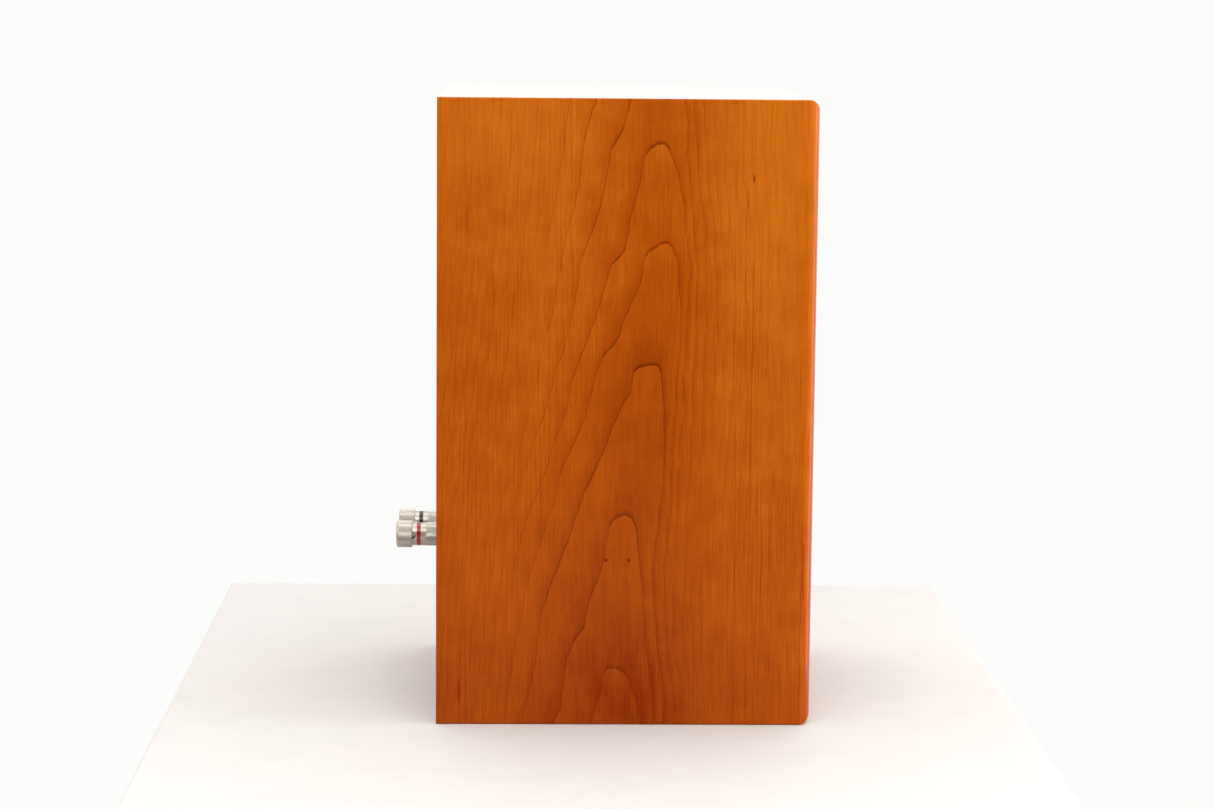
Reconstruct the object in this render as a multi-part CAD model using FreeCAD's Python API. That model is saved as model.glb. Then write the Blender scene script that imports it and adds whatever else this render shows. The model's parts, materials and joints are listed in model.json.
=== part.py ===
"""Two-way bookshelf loudspeaker in a veneered wooden cabinet, as separate pieces.

Frame: millimetres, +Z up. The origin is the middle of the cabinet's underside.
The baffle with the two drivers faces -Y, and the binding posts stand out of the rear, towards +Y.
The cabinet is a folded wrap of four mitred boards, closed by a thick rounded baffle and an inset rear board.
A woofer, a dome tweeter, a reflex port, a crossover and a terminal plate are fitted to it.
Every piece is written to parts/NODE.step.
"""
import FreeCAD, Part
import math
import os

V = FreeCAD.Vector
OUT = "parts"

# ---------------------------------------------------------------- cabinet
cabinet_height = 340.0
cabinet_width = 205.0
cabinet_depth = 204.0
panel_thickness = 15.0
baffle_thickness = 22.0
rear_thickness = 15.0
brace_thickness = 12.0
brace_rim = 22.0
brace_window_radius = 14.0
front_edge_radius = 6.35
edge_ease = 0.8

# ---------------------------------------------------------------- drivers on the baffle
woofer_frame_radius = 75.0
tweeter_plate_radius = 52.0
driver_gap = 8.0
stack_rise = 5.0
recess_clearance = 0.5
gasket_thickness = 0.8

# ---------------------------------------------------------------- woofer
flange_width = 14.6
flange_thickness = 4.2
surround_seat_depth = 2.8
surround_lip = 4.2
surround_skin = 0.6
roll_radius = 4.6
cone_rim_width = 3.0
cone_skin = 0.8
cone_depth = 18.0
cone_sag = 1.6
cone_clearance = 0.2
dust_cap_radius = 18.6
dust_cap_height = 6.5
dust_cap_skin = 0.5
former_radius = 16.15
former_skin = 0.35
coil_build = 0.85
coil_length = 10.0
coil_gap = 0.7
basket_wall = 2.5
basket_depth = 37.0
basket_floor = 3.0
basket_floor_radius = 44.0
basket_spokes = 6
basket_window_degrees = 42.0
basket_window_front = 9.0
spider_depth = 25.0
spider_ledge = 4.5
spider_skin = 0.5
spider_wave = 1.1
spider_waves = 4
woofer_top_plate = 6.0
woofer_magnet_radius = 42.0
woofer_magnet_bore = 22.0
woofer_magnet_height = 14.0
woofer_back_plate = 5.0
woofer_vent_radius = 5.0
pole_clearance = 0.7
woofer_screws = 8
woofer_screw_radius = 2.25
woofer_screw_head = 4.0
woofer_screw_head_height = 2.4
woofer_screw_length = 14.0

# ---------------------------------------------------------------- tweeter
tweeter_plate_thickness = 4.0
tweeter_flare_radius = 31.0
tweeter_throat_radius = 17.0
tweeter_throat_depth = 3.2
dome_radius = 12.7
dome_height = 4.4
dome_skin = 0.3
tweeter_roll_radius = 1.7
tweeter_skin = 0.25
tweeter_boss_wall = 12.0
tweeter_boss_height = 2.6
tweeter_motor_radius = 35.0
tweeter_top_plate = 3.0
tweeter_magnet_bore = 18.0
tweeter_magnet_height = 10.0
tweeter_back_plate = 4.0
tweeter_vent_radius = 2.5
tweeter_coil_gap = 0.5
tweeter_coil_build = 0.4
tweeter_coil_length = 2.8
tweeter_cup_radius = 32.0
tweeter_cup_depth = 16.0
tweeter_cup_wall = 2.0
tweeter_screws = 4
tweeter_screw_radius = 1.75
tweeter_screw_head = 3.5
tweeter_screw_head_height = 2.0
tweeter_screw_length = 13.0

# ---------------------------------------------------------------- grille sockets
socket_inset = 17.0
socket_rim_radius = 5.0
socket_rim_thickness = 1.0
socket_body_radius = 4.2
socket_bore_radius = 3.1
socket_depth = 13.0

# ---------------------------------------------------------------- reflex port
port_from_top = 88.0
port_bore_radius = 22.0
port_wall = 2.5
port_flare = 12.0
port_flange_width = 2.6
port_flange_thickness = 3.0
port_length = 100.0
port_inner_flare = 5.0
port_clearance = 3.0

# ---------------------------------------------------------------- terminal plate and binding posts
post_height = 90.0
post_spacing = 38.0
plate_width = 96.0
plate_height = 62.0
plate_thickness = 2.5
plate_gasket = 1.0
plate_corner = 6.0
plate_screw_inset = 6.0
plate_hole_margin = 12.0
plate_screw_radius = 1.75
plate_screw_head = 3.5
plate_screw_head_height = 1.4
plate_screw_length = 11.0
bushing_radius = 8.2
bushing_thickness = 2.0
bushing_spigot = 5.4
stem_radius = 3.9
collar_radius = 6.5
sleeve_radius = 6.6
sleeve_length = 6.2
collar_gap = 3.0
ring_width = 2.2
ring_depth = 0.9
ring_proud = 0.1
collar_front = 2.7
wire_hole_radius = 1.9
cap_radius = 7.6
cap_length = 8.8
cap_edge = 1.0
cap_running_gap = 0.1
washer_radius = 6.1
washer_thickness = 1.5
stem_tip_setback = 0.6
banana_radius = 2.05
banana_depth = 20.0
stem_inside = 22.0
nut_across_flats = 13.0
nut_thickness = 4.0
nut_washer_radius = 8.0
tag_width = 6.5
tag_length = 15.0
tag_thickness = 0.8
knurl_ribs = 90
knurl_depth = 0.1

# ---------------------------------------------------------------- crossover
board_thickness = 1.6
board_standoff = 8.0
board_from_rear = 34.0
board_edge = 8.0
board_lead_strip = 14.0
board_column_gap = 12.0
board_screw_inset = 5.0
standoff_radius = 3.5
standoff_screw_radius = 1.5
bass_coil_radius = 21.0
bass_coil_bore = 10.0
bass_coil_height = 22.0
treble_coil_radius = 15.0
treble_coil_bore = 7.0
treble_coil_height = 14.0
bobbin_flange = 1.5
bobbin_rim = 1.0
component_gap = 2.0
component_lift = 0.1
bass_capacitor = (9.0, 44.0)
treble_capacitor = (6.5, 34.0)
resistor_length = 46.0
resistor_side = 9.0

# ---------------------------------------------------------------- wiring and damping
lead_radius = 1.3
lead_bend_share = 0.45
tinsel_radius = 0.6
pad_thickness = 12.0
pad_margin = 6.0
pad_clearance = 1.0

# ---------------------------------------------------------------- planes worked out from the sizes above
front_y = -cabinet_depth / 2
rear_y = cabinet_depth / 2
baffle_back_y = front_y + baffle_thickness
rear_inner_y = rear_y - rear_thickness
side_x = cabinet_width / 2
inner_x = side_x - panel_thickness
floor_z = panel_thickness
ceiling_z = cabinet_height - panel_thickness

stack_height = 2 * woofer_frame_radius + driver_gap + 2 * tweeter_plate_radius
stack_bottom = (cabinet_height - stack_height) / 2
stack_bottom += min(stack_rise, stack_bottom / 2)
woofer_z = stack_bottom + woofer_frame_radius
tweeter_z = woofer_z + woofer_frame_radius + driver_gap + tweeter_plate_radius
brace_z = woofer_z + woofer_frame_radius + driver_gap / 2

# the port hangs from the top of the rear board, and never comes down onto the brace
port_tail_radius = port_bore_radius + port_inner_flare + port_wall
port_reach = max(port_tail_radius, port_bore_radius + port_flare / 2 + port_wall)
port_lowest = brace_z + brace_thickness / 2 + port_reach + port_clearance
port_z = max(cabinet_height - port_from_top, port_lowest)
port_tail_y = rear_y - port_length

# woofer, radii and depths behind the baffle's front plane
basket_radius = woofer_frame_radius - flange_width
woofer_cutout = basket_radius + 1.6
woofer_recess = flange_thickness + gasket_thickness
surround_outer = basket_radius - 0.2
roll_outer = surround_outer - surround_lip
roll_centre = roll_outer - roll_radius
roll_inner = roll_centre - roll_radius
cone_rim_front = surround_seat_depth + cone_clearance
cone_rim_inner = roll_inner - cone_rim_width
cone_neck_depth = cone_rim_front + cone_depth
top_plate_front = basket_depth
top_plate_back = top_plate_front + woofer_top_plate
magnet_back = top_plate_back + woofer_magnet_height
coil_middle = (top_plate_front + top_plate_back) / 2
coil_outer = former_radius + coil_build
gap_radius = coil_outer + coil_gap
pole_radius = former_radius - former_skin - pole_clearance
woofer_screw_circle = woofer_frame_radius - flange_width / 2

# tweeter, depths behind the baffle's front plane
tweeter_recess = tweeter_plate_thickness + gasket_thickness
dome_base_depth = tweeter_plate_thickness + 0.6
tweeter_top_front = tweeter_plate_thickness + tweeter_boss_height
tweeter_top_back = tweeter_top_front + tweeter_top_plate
tweeter_magnet_back = tweeter_top_back + tweeter_magnet_height
tweeter_motor_back = tweeter_magnet_back + tweeter_back_plate
tweeter_coil_outer = dome_radius + tweeter_coil_build
tweeter_gap_radius = tweeter_coil_outer + tweeter_coil_gap
tweeter_cutout = tweeter_motor_radius + 2.0
tweeter_screw_circle = (tweeter_cutout + tweeter_plate_radius) / 2

# binding post, distances outward from the rear plane
sleeve_start = bushing_thickness
sleeve_end = sleeve_start + sleeve_length
ring_start = sleeve_end + collar_gap
ring_end = ring_start + ring_width
collar_end = ring_end + collar_front
cap_start = collar_end + cap_running_gap
cap_end = cap_start + cap_length
stem_tip = cap_end - stem_tip_setback
plate_back = -plate_thickness
plate_recess = plate_thickness + plate_gasket
post_x = {"red": -post_spacing / 2, "black": post_spacing / 2}

# the board is as large as its two columns of components need
left_column = max(2 * (bass_coil_radius + bobbin_rim), bass_capacitor[1], treble_capacitor[1])
right_column = max(2 * (treble_coil_radius + bobbin_rim), resistor_length, treble_capacitor[1])
left_radii = bass_capacitor[0] + treble_capacitor[0] + bass_coil_radius + bobbin_rim
right_radii = resistor_side + treble_capacitor[0] + treble_coil_radius + bobbin_rim
left_stack = 2 * left_radii + 2 * component_gap
right_stack = 2 * right_radii + 3 * component_gap
board_width = left_column + right_column + board_column_gap + 2 * board_edge
board_length = max(left_stack, right_stack) + board_edge + board_lead_strip
board_top = floor_z + board_standoff + board_thickness
board_rear_y = rear_inner_y - board_from_rear
board_front_y = board_rear_y - board_length


# ---------------------------------------------------------------- shape helpers
def box(x0, x1, y0, y1, z0, z1):
    """A box between two corners."""
    return Part.makeBox(x1 - x0, y1 - y0, z1 - z0, V(x0, y0, z0))


def rod(radius, y0, y1, x=0.0, z=0.0):
    """A cylinder along Y from y0 to y1."""
    return Part.makeCylinder(radius, y1 - y0, V(x, y0, z), V(0, 1, 0))


def tube(outer, inner, y0, y1, x=0.0, z=0.0):
    """A ring along Y from y0 to y1."""
    return rod(outer, y0, y1, x, z).cut(rod(inner, y0 - 1, y1 + 1, x, z))


def post(radius, z0, z1, x, y):
    """A cylinder along Z from z0 to z1."""
    return Part.makeCylinder(radius, z1 - z0, V(x, y, z0), V(0, 0, 1))


def turned(edges, x, z):
    """A closed profile of (radius, y) edges, turned about the axis along Y at (x, z)."""
    face = Part.Face(Part.Wire(Part.__sortEdges__(edges)))
    solid = face.revolve(V(0, 0, 0), V(0, 1, 0), 360)
    solid.translate(V(x, 0, z))
    return solid


def line(p, q):
    return Part.makeLine(V(p[0], p[1], 0), V(q[0], q[1], 0))


def arc(p, middle, q):
    return Part.Arc(V(p[0], p[1], 0), V(middle[0], middle[1], 0), V(q[0], q[1], 0)).toShape()


def polyline(points):
    """Edges of a closed polygon through (radius, y) points."""
    return [line(points[i], points[(i + 1) % len(points)]) for i in range(len(points))]


def rounded_outline(w0, w1, h0, h1, radii):
    """A rectangle's edges in 2D, rounded by radii: lower left, lower right, upper right, upper left."""
    corners = [(w0, h0), (w1, h0), (w1, h1), (w0, h1)]
    inward = [(1, 1), (-1, 1), (-1, -1), (1, -1)]
    starts, ends, middles = [], [], []
    for (cw, ch), (iw, ih), r in zip(corners, inward, radii):
        centre = (cw + iw * r, ch + ih * r)
        on_side = (cw, centre[1])
        on_base = (centre[0], ch)
        middles.append((centre[0] - iw * r * math.sqrt(0.5), centre[1] - ih * r * math.sqrt(0.5)))
        first_is_side = iw == ih
        starts.append(on_side if first_is_side else on_base)
        ends.append(on_base if first_is_side else on_side)
    parts = []
    for i, r in enumerate(radii):
        if r > 0:
            parts.append(("arc", starts[i], middles[i], ends[i]))
        parts.append(("line", ends[i], starts[(i + 1) % 4]))
    return parts


def extruded_outline(parts, place, direction):
    """Extrudes 2D outline parts, carried into space by place(w, h), along direction."""
    edges = []
    for kind, *points in parts:
        spots = [place(*p) for p in points]
        edges.append(Part.Arc(*spots).toShape() if kind == "arc" else Part.makeLine(*spots))
    return Part.Face(Part.Wire(edges)).extrude(direction)


def rounded_plate_y(w0, w1, h0, h1, radius, y0, y1):
    """A plate standing in the XZ plane, with rounded corners, from y0 to y1."""
    outline = rounded_outline(w0, w1, h0, h1, [radius] * 4)
    return extruded_outline(outline, lambda w, h: V(w, y0, h), V(0, y1 - y0, 0))


def rounded_plate_z(w0, w1, h0, h1, radius, z0, z1):
    """A plate lying in the XY plane, with rounded corners, from z0 to z1."""
    outline = rounded_outline(w0, w1, h0, h1, [radius] * 4)
    return extruded_outline(outline, lambda w, h: V(w, h, z0), V(0, 0, z1 - z0))


def ribbed_rod(radius, y0, y1, x, z):
    """A rod along Y with straight knurling, its ribs cut as shallow flutes."""
    points = []
    for i in range(2 * knurl_ribs):
        angle = math.pi * i / knurl_ribs
        r = radius - (knurl_depth if i % 2 else 0.0)
        points.append(V(x + r * math.cos(angle), y0, z + r * math.sin(angle)))
    return Part.Face(Part.makePolygon(points + points[:1])).extrude(V(0, y1 - y0, 0))


def around(count, first_degrees=0.0):
    """The angles, in radians, of count places evenly round a circle."""
    return [math.radians(first_degrees) + 2 * math.pi * i / count for i in range(count)]


def on_circle(radius, angle, z):
    """The (x, z) of a place on a circle about a driver's axis."""
    return radius * math.cos(angle), z + radius * math.sin(angle)


def bent_wire(points, radius):
    """A round wire along straight runs joined by tangent arcs, each as large as its runs allow."""
    points = [V(*p) for p in points]
    edges, at = [], points[0]
    for before, corner, after in zip(points, points[1:], points[2:]):
        back, on = before - corner, after - corner
        turn = math.pi - back.getAngle(on)
        reach = lead_bend_share * min(back.Length, on.Length)
        bend = reach / math.tan(turn / 2)
        start, end = corner + back.normalize() * reach, corner + on.normalize() * reach
        inward = (back + on).normalize()
        middle = corner + inward * (bend / math.cos(turn / 2) - bend)
        edges += [Part.makeLine(at, start), Part.Arc(start, middle, end).toShape()]
        at = end
    edges.append(Part.makeLine(at, points[-1]))
    spine = Part.Wire(edges)
    section = Part.Wire([Part.makeCircle(radius, points[0], points[1] - points[0])])
    return spine.makePipeShell([section], True, True)


def pan_screw(x, z, head_y, outward, shank_radius, head_radius, head_height, length):
    """A socket-head screw whose head sits on head_y; outward is -1 at the front and +1 at the rear."""
    low, high = sorted((head_y, head_y + outward * head_height))
    head = rod(head_radius, low, high, x, z)
    face_y = head_y + outward * head_height
    outer_edge = [e for e in head.Edges if abs(e.BoundBox.Center.y - face_y) < 1e-6]
    head = head.makeFillet(head_height * 0.3, outer_edge)
    low, high = sorted((head_y - outward * length, head_y))
    shank = rod(shank_radius, low, high, x, z)
    socket = hexagon(head_radius * 0.95, head_y + outward * head_height * 0.35, outward * head_height, x, z)
    return head.cut(socket).fuse(shank).removeSplitter()


def hexagon(across_flats, y, depth, x, z):
    """A hexagonal prism along Y, starting at y and as long as depth, which may be negative."""
    corner = across_flats / 2 / math.cos(math.pi / 6)
    points = [V(x + corner * math.cos(a), y, z + corner * math.sin(a)) for a in around(6)]
    return Part.Face(Part.makePolygon(points + points[:1])).extrude(V(0, depth, 0))


def save(name, *solids):
    """Writes one node as a STEP file of separate solids."""
    shape = solids[0] if len(solids) == 1 else Part.makeCompound(list(solids))
    if not shape.isValid():
        raise RuntimeError(f"{name} is not a valid shape")
    shape.exportStep(os.path.join(OUT, name + ".step"))


# ---------------------------------------------------------------- cabinet pieces
def envelope():
    """The cabinet's outer form: eased long edges, and a router's round along all four front edges."""
    ease, nose = edge_ease, front_edge_radius
    along_y = rounded_plate_y(-side_x, side_x, 0, cabinet_height, ease, front_y, rear_y)
    side = rounded_outline(front_y, rear_y, 0, cabinet_height, [nose, 0, 0, nose])
    along_x = extruded_outline(side, lambda w, h: V(-side_x, w, h), V(cabinet_width, 0, 0))
    top = rounded_outline(-side_x, side_x, front_y, rear_y, [nose, nose, 0, 0])
    along_z = extruded_outline(top, lambda w, h: V(w, h, 0), V(0, 0, cabinet_height))
    return along_y.common(along_x).common(along_z)


def wrap_board(corner_points):
    """One mitred board of the wrap, its section given in XZ, from the baffle's back to the rear."""
    points = [V(x, baffle_back_y, z) for x, z in corner_points]
    section = Part.Face(Part.makePolygon(points + points[:1]))
    return section.extrude(V(0, rear_y - baffle_back_y, 0))


def make_wrap(outer):
    lower, upper = floor_z, ceiling_z
    far = cabinet_height
    for name, sign in (("left_side_panel", 1), ("right_side_panel", -1)):
        out, inside = sign * side_x, sign * inner_x
        section = [(out, 0), (out, far), (inside, upper), (inside, lower)]
        save(name, wrap_board(section).common(outer))
    section = [(-side_x, far), (side_x, far), (inner_x, upper), (-inner_x, upper)]
    save("top_panel", wrap_board(section).common(outer))
    section = [(-side_x, 0), (side_x, 0), (inner_x, lower), (-inner_x, lower)]
    save("bottom_panel", wrap_board(section).common(outer))


def socket_places():
    """The (x, z) of the four grille sockets."""
    across = side_x - socket_inset
    return [(sx * across, z) for sx in (-1, 1) for z in (socket_inset, cabinet_height - socket_inset)]


def make_baffle(outer):
    board = outer.common(box(-side_x, side_x, front_y, baffle_back_y, 0, cabinet_height))
    outside = front_y - 1
    back = baffle_back_y + 1
    recess = woofer_frame_radius + recess_clearance
    board = board.cut(rod(recess, outside, front_y + woofer_recess, 0, woofer_z))
    board = board.cut(rod(woofer_cutout, outside, back, 0, woofer_z))
    recess = tweeter_plate_radius + recess_clearance
    board = board.cut(rod(recess, outside, front_y + tweeter_recess, 0, tweeter_z))
    board = board.cut(rod(tweeter_cutout, outside, back, 0, tweeter_z))
    for x, z in socket_places():
        board = board.cut(rod(socket_rim_radius, outside, front_y + socket_rim_thickness, x, z))
        board = board.cut(rod(socket_body_radius, outside, front_y + socket_depth, x, z))
    for angle in around(woofer_screws, 22.5):
        x, z = on_circle(woofer_screw_circle, angle, woofer_z)
        tip = woofer_head_seat() + woofer_screw_length
        board = board.cut(rod(woofer_screw_radius, outside, tip, x, z))
    for angle in around(tweeter_screws, 45):
        x, z = on_circle(tweeter_screw_circle, angle, tweeter_z)
        tip = tweeter_head_seat() + tweeter_screw_length
        board = board.cut(rod(tweeter_screw_radius, outside, tip, x, z))
    save("front_baffle", board)


def make_grille_sockets():
    sockets = []
    for x, z in socket_places():
        rim = rod(socket_rim_radius, front_y, front_y + socket_rim_thickness, x, z)
        body = rod(socket_body_radius, front_y, front_y + socket_depth, x, z)
        bore = rod(socket_bore_radius, front_y - 1, front_y + socket_depth - 1.0, x, z)
        sockets.append(rim.fuse(body).cut(bore).removeSplitter())
    save("grille_sockets", *sockets)


def plate_screw_places():
    """The (x, z) of the terminal plate's four screws."""
    across, up = plate_width / 2 - plate_screw_inset, plate_height / 2 - plate_screw_inset
    return [(sx * across, post_height + sz * up) for sx in (-1, 1) for sz in (-1, 1)]


def make_rear_panel():
    board = box(-inner_x, inner_x, rear_inner_y, rear_y, floor_z, ceiling_z)
    inside, outside = rear_inner_y - 1, rear_y + 1
    flange = port_flange_radius() + recess_clearance
    board = board.cut(rod(flange, rear_y - port_flange_thickness, outside, 0, port_z))
    board = board.cut(rod(port_hole_radius(), inside, outside, 0, port_z))
    half_w, half_h = plate_width / 2, plate_height / 2
    low, high = post_height - half_h, post_height + half_h
    gap = recess_clearance / 2
    recess = rounded_plate_y(
        -half_w - gap, half_w + gap, low - gap, high + gap,
        plate_corner + gap, rear_y - plate_recess, outside,
    )
    margin = plate_hole_margin
    hole = rounded_plate_y(
        -half_w + margin, half_w - margin, low + margin, high - margin, plate_corner, inside, outside
    )
    board = board.cut(recess).cut(hole)
    for x, z in plate_screw_places():
        board = board.cut(rod(plate_screw_radius, rear_y - plate_screw_length, outside, x, z))
    save("rear_panel", board)


def make_brace():
    """A shelf brace between the two drivers, with a window each side of its middle rib."""
    x1, y0, y1 = inner_x, baffle_back_y, rear_inner_y
    z0, z1 = brace_z - brace_thickness / 2, brace_z + brace_thickness / 2
    shelf = box(-x1, x1, y0, y1, z0, z1)
    for sign in (-1, 1):
        near, far = sorted((sign * brace_rim / 2, sign * (x1 - brace_rim)))
        window = rounded_plate_z(
            near, far, y0 + brace_rim, y1 - brace_rim, brace_window_radius, z0 - 1, z1 + 1
        )
        shelf = shelf.cut(window)
    save("shelf_brace", shelf)


# ---------------------------------------------------------------- woofer
def woofer_head_seat():
    """Where the woofer's screw heads sit: in the counterbores of the flange."""
    return front_y + woofer_screw_head_height


def basket_wall_radius(depth):
    """Inner radius of the basket's tapering wall at a depth behind the front plane."""
    top, bottom = flange_thickness, basket_depth - basket_floor
    share = (depth - top) / (bottom - top)
    wide, narrow = basket_radius - basket_wall, basket_floor_radius - basket_wall
    return wide + (narrow - wide) * share


def basket_outer_radius(depth):
    """Outer radius of the basket's tapering wall at a depth behind the front plane."""
    share = (basket_depth - depth) / (basket_depth - flange_thickness)
    return basket_floor_radius + (basket_radius - basket_floor_radius) * share


def window_back_depth():
    """Depth of the rear edge of the basket's windows, just in front of the spider's ledge."""
    return spider_depth - 1.5


def tag_board_depth():
    """Depth of the tag board's front, which lies on the back of the basket's lug."""
    return basket_depth - 4


def tag_board_bottom():
    return woofer_z + basket_outer_radius(tag_board_depth()) + 0.3


def tag_board_top():
    return woofer_z + basket_outer_radius(window_back_depth()) + 4.25


def make_woofer_basket():
    y = front_y
    edge = 0.5
    seat_inner = roll_outer + 0.3
    wall_front = basket_wall_radius(flange_thickness)
    profile = [
        (woofer_frame_radius, y + edge),
        (woofer_frame_radius - edge, y),
        (basket_radius + edge, y),
        (basket_radius, y + edge),
        (basket_radius, y + surround_seat_depth),
        (seat_inner, y + surround_seat_depth),
        (seat_inner, y + flange_thickness),
        (wall_front, y + flange_thickness + 0.6),
        (basket_floor_radius - basket_wall, y + basket_depth - basket_floor),
        (gap_radius + 0.8, y + basket_depth - basket_floor),
        (gap_radius + 0.8, y + basket_depth),
        (basket_floor_radius, y + basket_depth),
        (basket_radius, y + flange_thickness),
        (woofer_frame_radius, y + flange_thickness),
    ]
    basket = turned(polyline(profile), 0, woofer_z)
    ledge_outer = basket_wall_radius(spider_depth) + basket_wall / 2
    ledge_y = y + spider_depth
    ledge = tube(ledge_outer, ledge_outer - spider_ledge - 1.5, ledge_y, ledge_y + 2.5, 0, woofer_z)
    window_y = y + window_back_depth()
    ring = tube(basket_radius + 2, former_radius + 12, y + basket_window_front, window_y, 0, woofer_z)
    for angle in around(basket_spokes, 30):
        wedge = window_wedge(math.degrees(angle), basket_radius * 1.5, y)
        basket = basket.cut(ring.common(wedge))
    basket = basket.fuse(ledge)
    lug_back = y + tag_board_depth()
    lug_foot = woofer_z + basket_outer_radius(tag_board_depth()) - 1
    lug = box(-9, 9, lug_back - 4, lug_back, lug_foot, tag_board_top())
    basket = basket.fuse(lug)
    for angle in around(woofer_screws, 22.5):
        x, z = on_circle(woofer_screw_circle, angle, woofer_z)
        basket = basket.cut(rod(woofer_screw_radius + 0.2, y - 1, y + flange_thickness + 1, x, z))
        basket = basket.cut(rod(woofer_screw_head + 0.25, y - 1, woofer_head_seat(), x, z))
    save("woofer_basket", basket.removeSplitter())


def window_wedge(degrees, reach, y):
    """A triangular prism that spans one basket window, seen along the driver's axis."""
    half = math.radians(basket_window_degrees / 2)
    middle = math.radians(degrees)
    tips = [on_circle(reach, middle - half, woofer_z), on_circle(reach, middle + half, woofer_z)]
    points = [V(0, y, woofer_z)] + [V(x, y, z) for x, z in tips]
    return Part.Face(Part.makePolygon(points + points[:1])).extrude(V(0, basket_depth, 0))


def make_woofer_gasket():
    low = front_y + flange_thickness
    ring = tube(woofer_frame_radius - 0.5, woofer_cutout + 0.3, low, low + gasket_thickness, 0, woofer_z)
    for angle in around(woofer_screws, 22.5):
        x, z = on_circle(woofer_screw_circle, angle, woofer_z)
        ring = ring.cut(rod(woofer_screw_radius + 0.5, low - 1, low + 2, x, z))
    save("woofer_gasket", ring)


def make_woofer_screws():
    screws = []
    for angle in around(woofer_screws, 22.5):
        x, z = on_circle(woofer_screw_circle, angle, woofer_z)
        screws.append(
            pan_screw(
                x, z, woofer_head_seat(), -1, woofer_screw_radius, woofer_screw_head,
                woofer_screw_head_height, woofer_screw_length,
            )
        )
    save("woofer_screws", *screws)


def make_woofer_surround():
    """A half-roll rubber edge: flat lip, outward roll, flat lip."""
    back = front_y + surround_seat_depth
    front = back - surround_skin
    middle = (front + back) / 2
    big, small = roll_radius + surround_skin / 2, roll_radius - surround_skin / 2
    inner_lip = cone_rim_inner + 0.3
    reach_big = math.sqrt(big**2 - (surround_skin / 2) ** 2)
    reach_small = math.sqrt(small**2 - (surround_skin / 2) ** 2)
    edges = [
        line((surround_outer, back), (roll_centre + reach_small, back)),
        arc(
            (roll_centre + reach_small, back),
            (roll_centre, middle - small),
            (roll_centre - reach_small, back),
        ),
        line((roll_centre - reach_small, back), (inner_lip, back)),
        line((inner_lip, back), (inner_lip, front)),
        line((inner_lip, front), (roll_centre - reach_big, front)),
        arc((roll_centre - reach_big, front), (roll_centre, middle - big), (roll_centre + reach_big, front)),
        line((roll_centre + reach_big, front), (surround_outer, front)),
        line((surround_outer, front), (surround_outer, back)),
    ]
    save("woofer_surround", turned(edges, 0, woofer_z))


def cone_circle():
    """Centre and radius of the circle that the cone's front follows from rim to neck."""
    r0, a0 = cone_rim_inner, cone_rim_front
    r1, a1 = former_radius, cone_neck_depth
    chord = math.hypot(r1 - r0, a1 - a0)
    radius = (chord**2 / 4 + cone_sag**2) / (2 * cone_sag)
    off = radius - cone_sag
    normal = ((a1 - a0) / chord, -(r1 - r0) / chord)
    return ((r0 + r1) / 2 + normal[0] * off, (a0 + a1) / 2 + normal[1] * off), radius


def cone_front_depth(radius):
    """Depth of the cone's front at a radius from the axis."""
    (centre_r, centre_a), big = cone_circle()
    return centre_a - math.sqrt(big**2 - (radius - centre_r) ** 2)


def make_woofer_cone():
    y = front_y
    rim_outer = roll_inner
    middle_r = (cone_rim_inner + former_radius) / 2
    front = [
        (cone_rim_inner, y + cone_front_depth(cone_rim_inner)),
        (middle_r, y + cone_front_depth(middle_r)),
        (former_radius, y + cone_front_depth(former_radius)),
    ]
    back = [(r, a + cone_skin) for r, a in front]
    edges = [
        line((rim_outer, front[0][1]), front[0]),
        arc(*front),
        line(front[2], back[2]),
        arc(*reversed(back)),
        line(back[0], (rim_outer, back[0][1])),
        line((rim_outer, back[0][1]), (rim_outer, front[0][1])),
    ]
    save("woofer_cone", turned(edges, 0, woofer_z))


def dome_shell(base_radius, height, skin, base_y, x, z):
    """A thin spherical cap about Y, bulging towards -Y from its open base."""
    big = (base_radius**2 + height**2) / (2 * height)
    centre = base_y - height + big
    small = big - skin
    half = math.asin(base_radius / big) / 2
    base_inner = math.sqrt(small**2 - (centre - base_y) ** 2)
    half_inner = math.asin(base_inner / small) / 2
    edges = [
        line((0, centre - small), (0, centre - big)),
        arc((0, centre - big), (big * math.sin(half), centre - big * math.cos(half)), (base_radius, base_y)),
        line((base_radius, base_y), (base_inner, base_y)),
        arc(
            (base_inner, base_y),
            (small * math.sin(half_inner), centre - small * math.cos(half_inner)),
            (0, centre - small),
        ),
    ]
    return turned(edges, x, z)


def make_dust_cap():
    base_y = front_y + cone_front_depth(dust_cap_radius)
    save("woofer_dust_cap", dome_shell(dust_cap_radius, dust_cap_height, dust_cap_skin, base_y, 0, woofer_z))


def make_voice_coil():
    y = front_y
    neck = y + cone_front_depth(former_radius)
    tail = y + coil_middle + coil_length / 2 + 1
    save("woofer_coil_former", tube(former_radius, former_radius - former_skin, neck, tail, 0, woofer_z))
    low, high = y + coil_middle - coil_length / 2, y + coil_middle + coil_length / 2
    save("woofer_voice_coil", tube(coil_outer, former_radius, low, high, 0, woofer_z))


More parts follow.
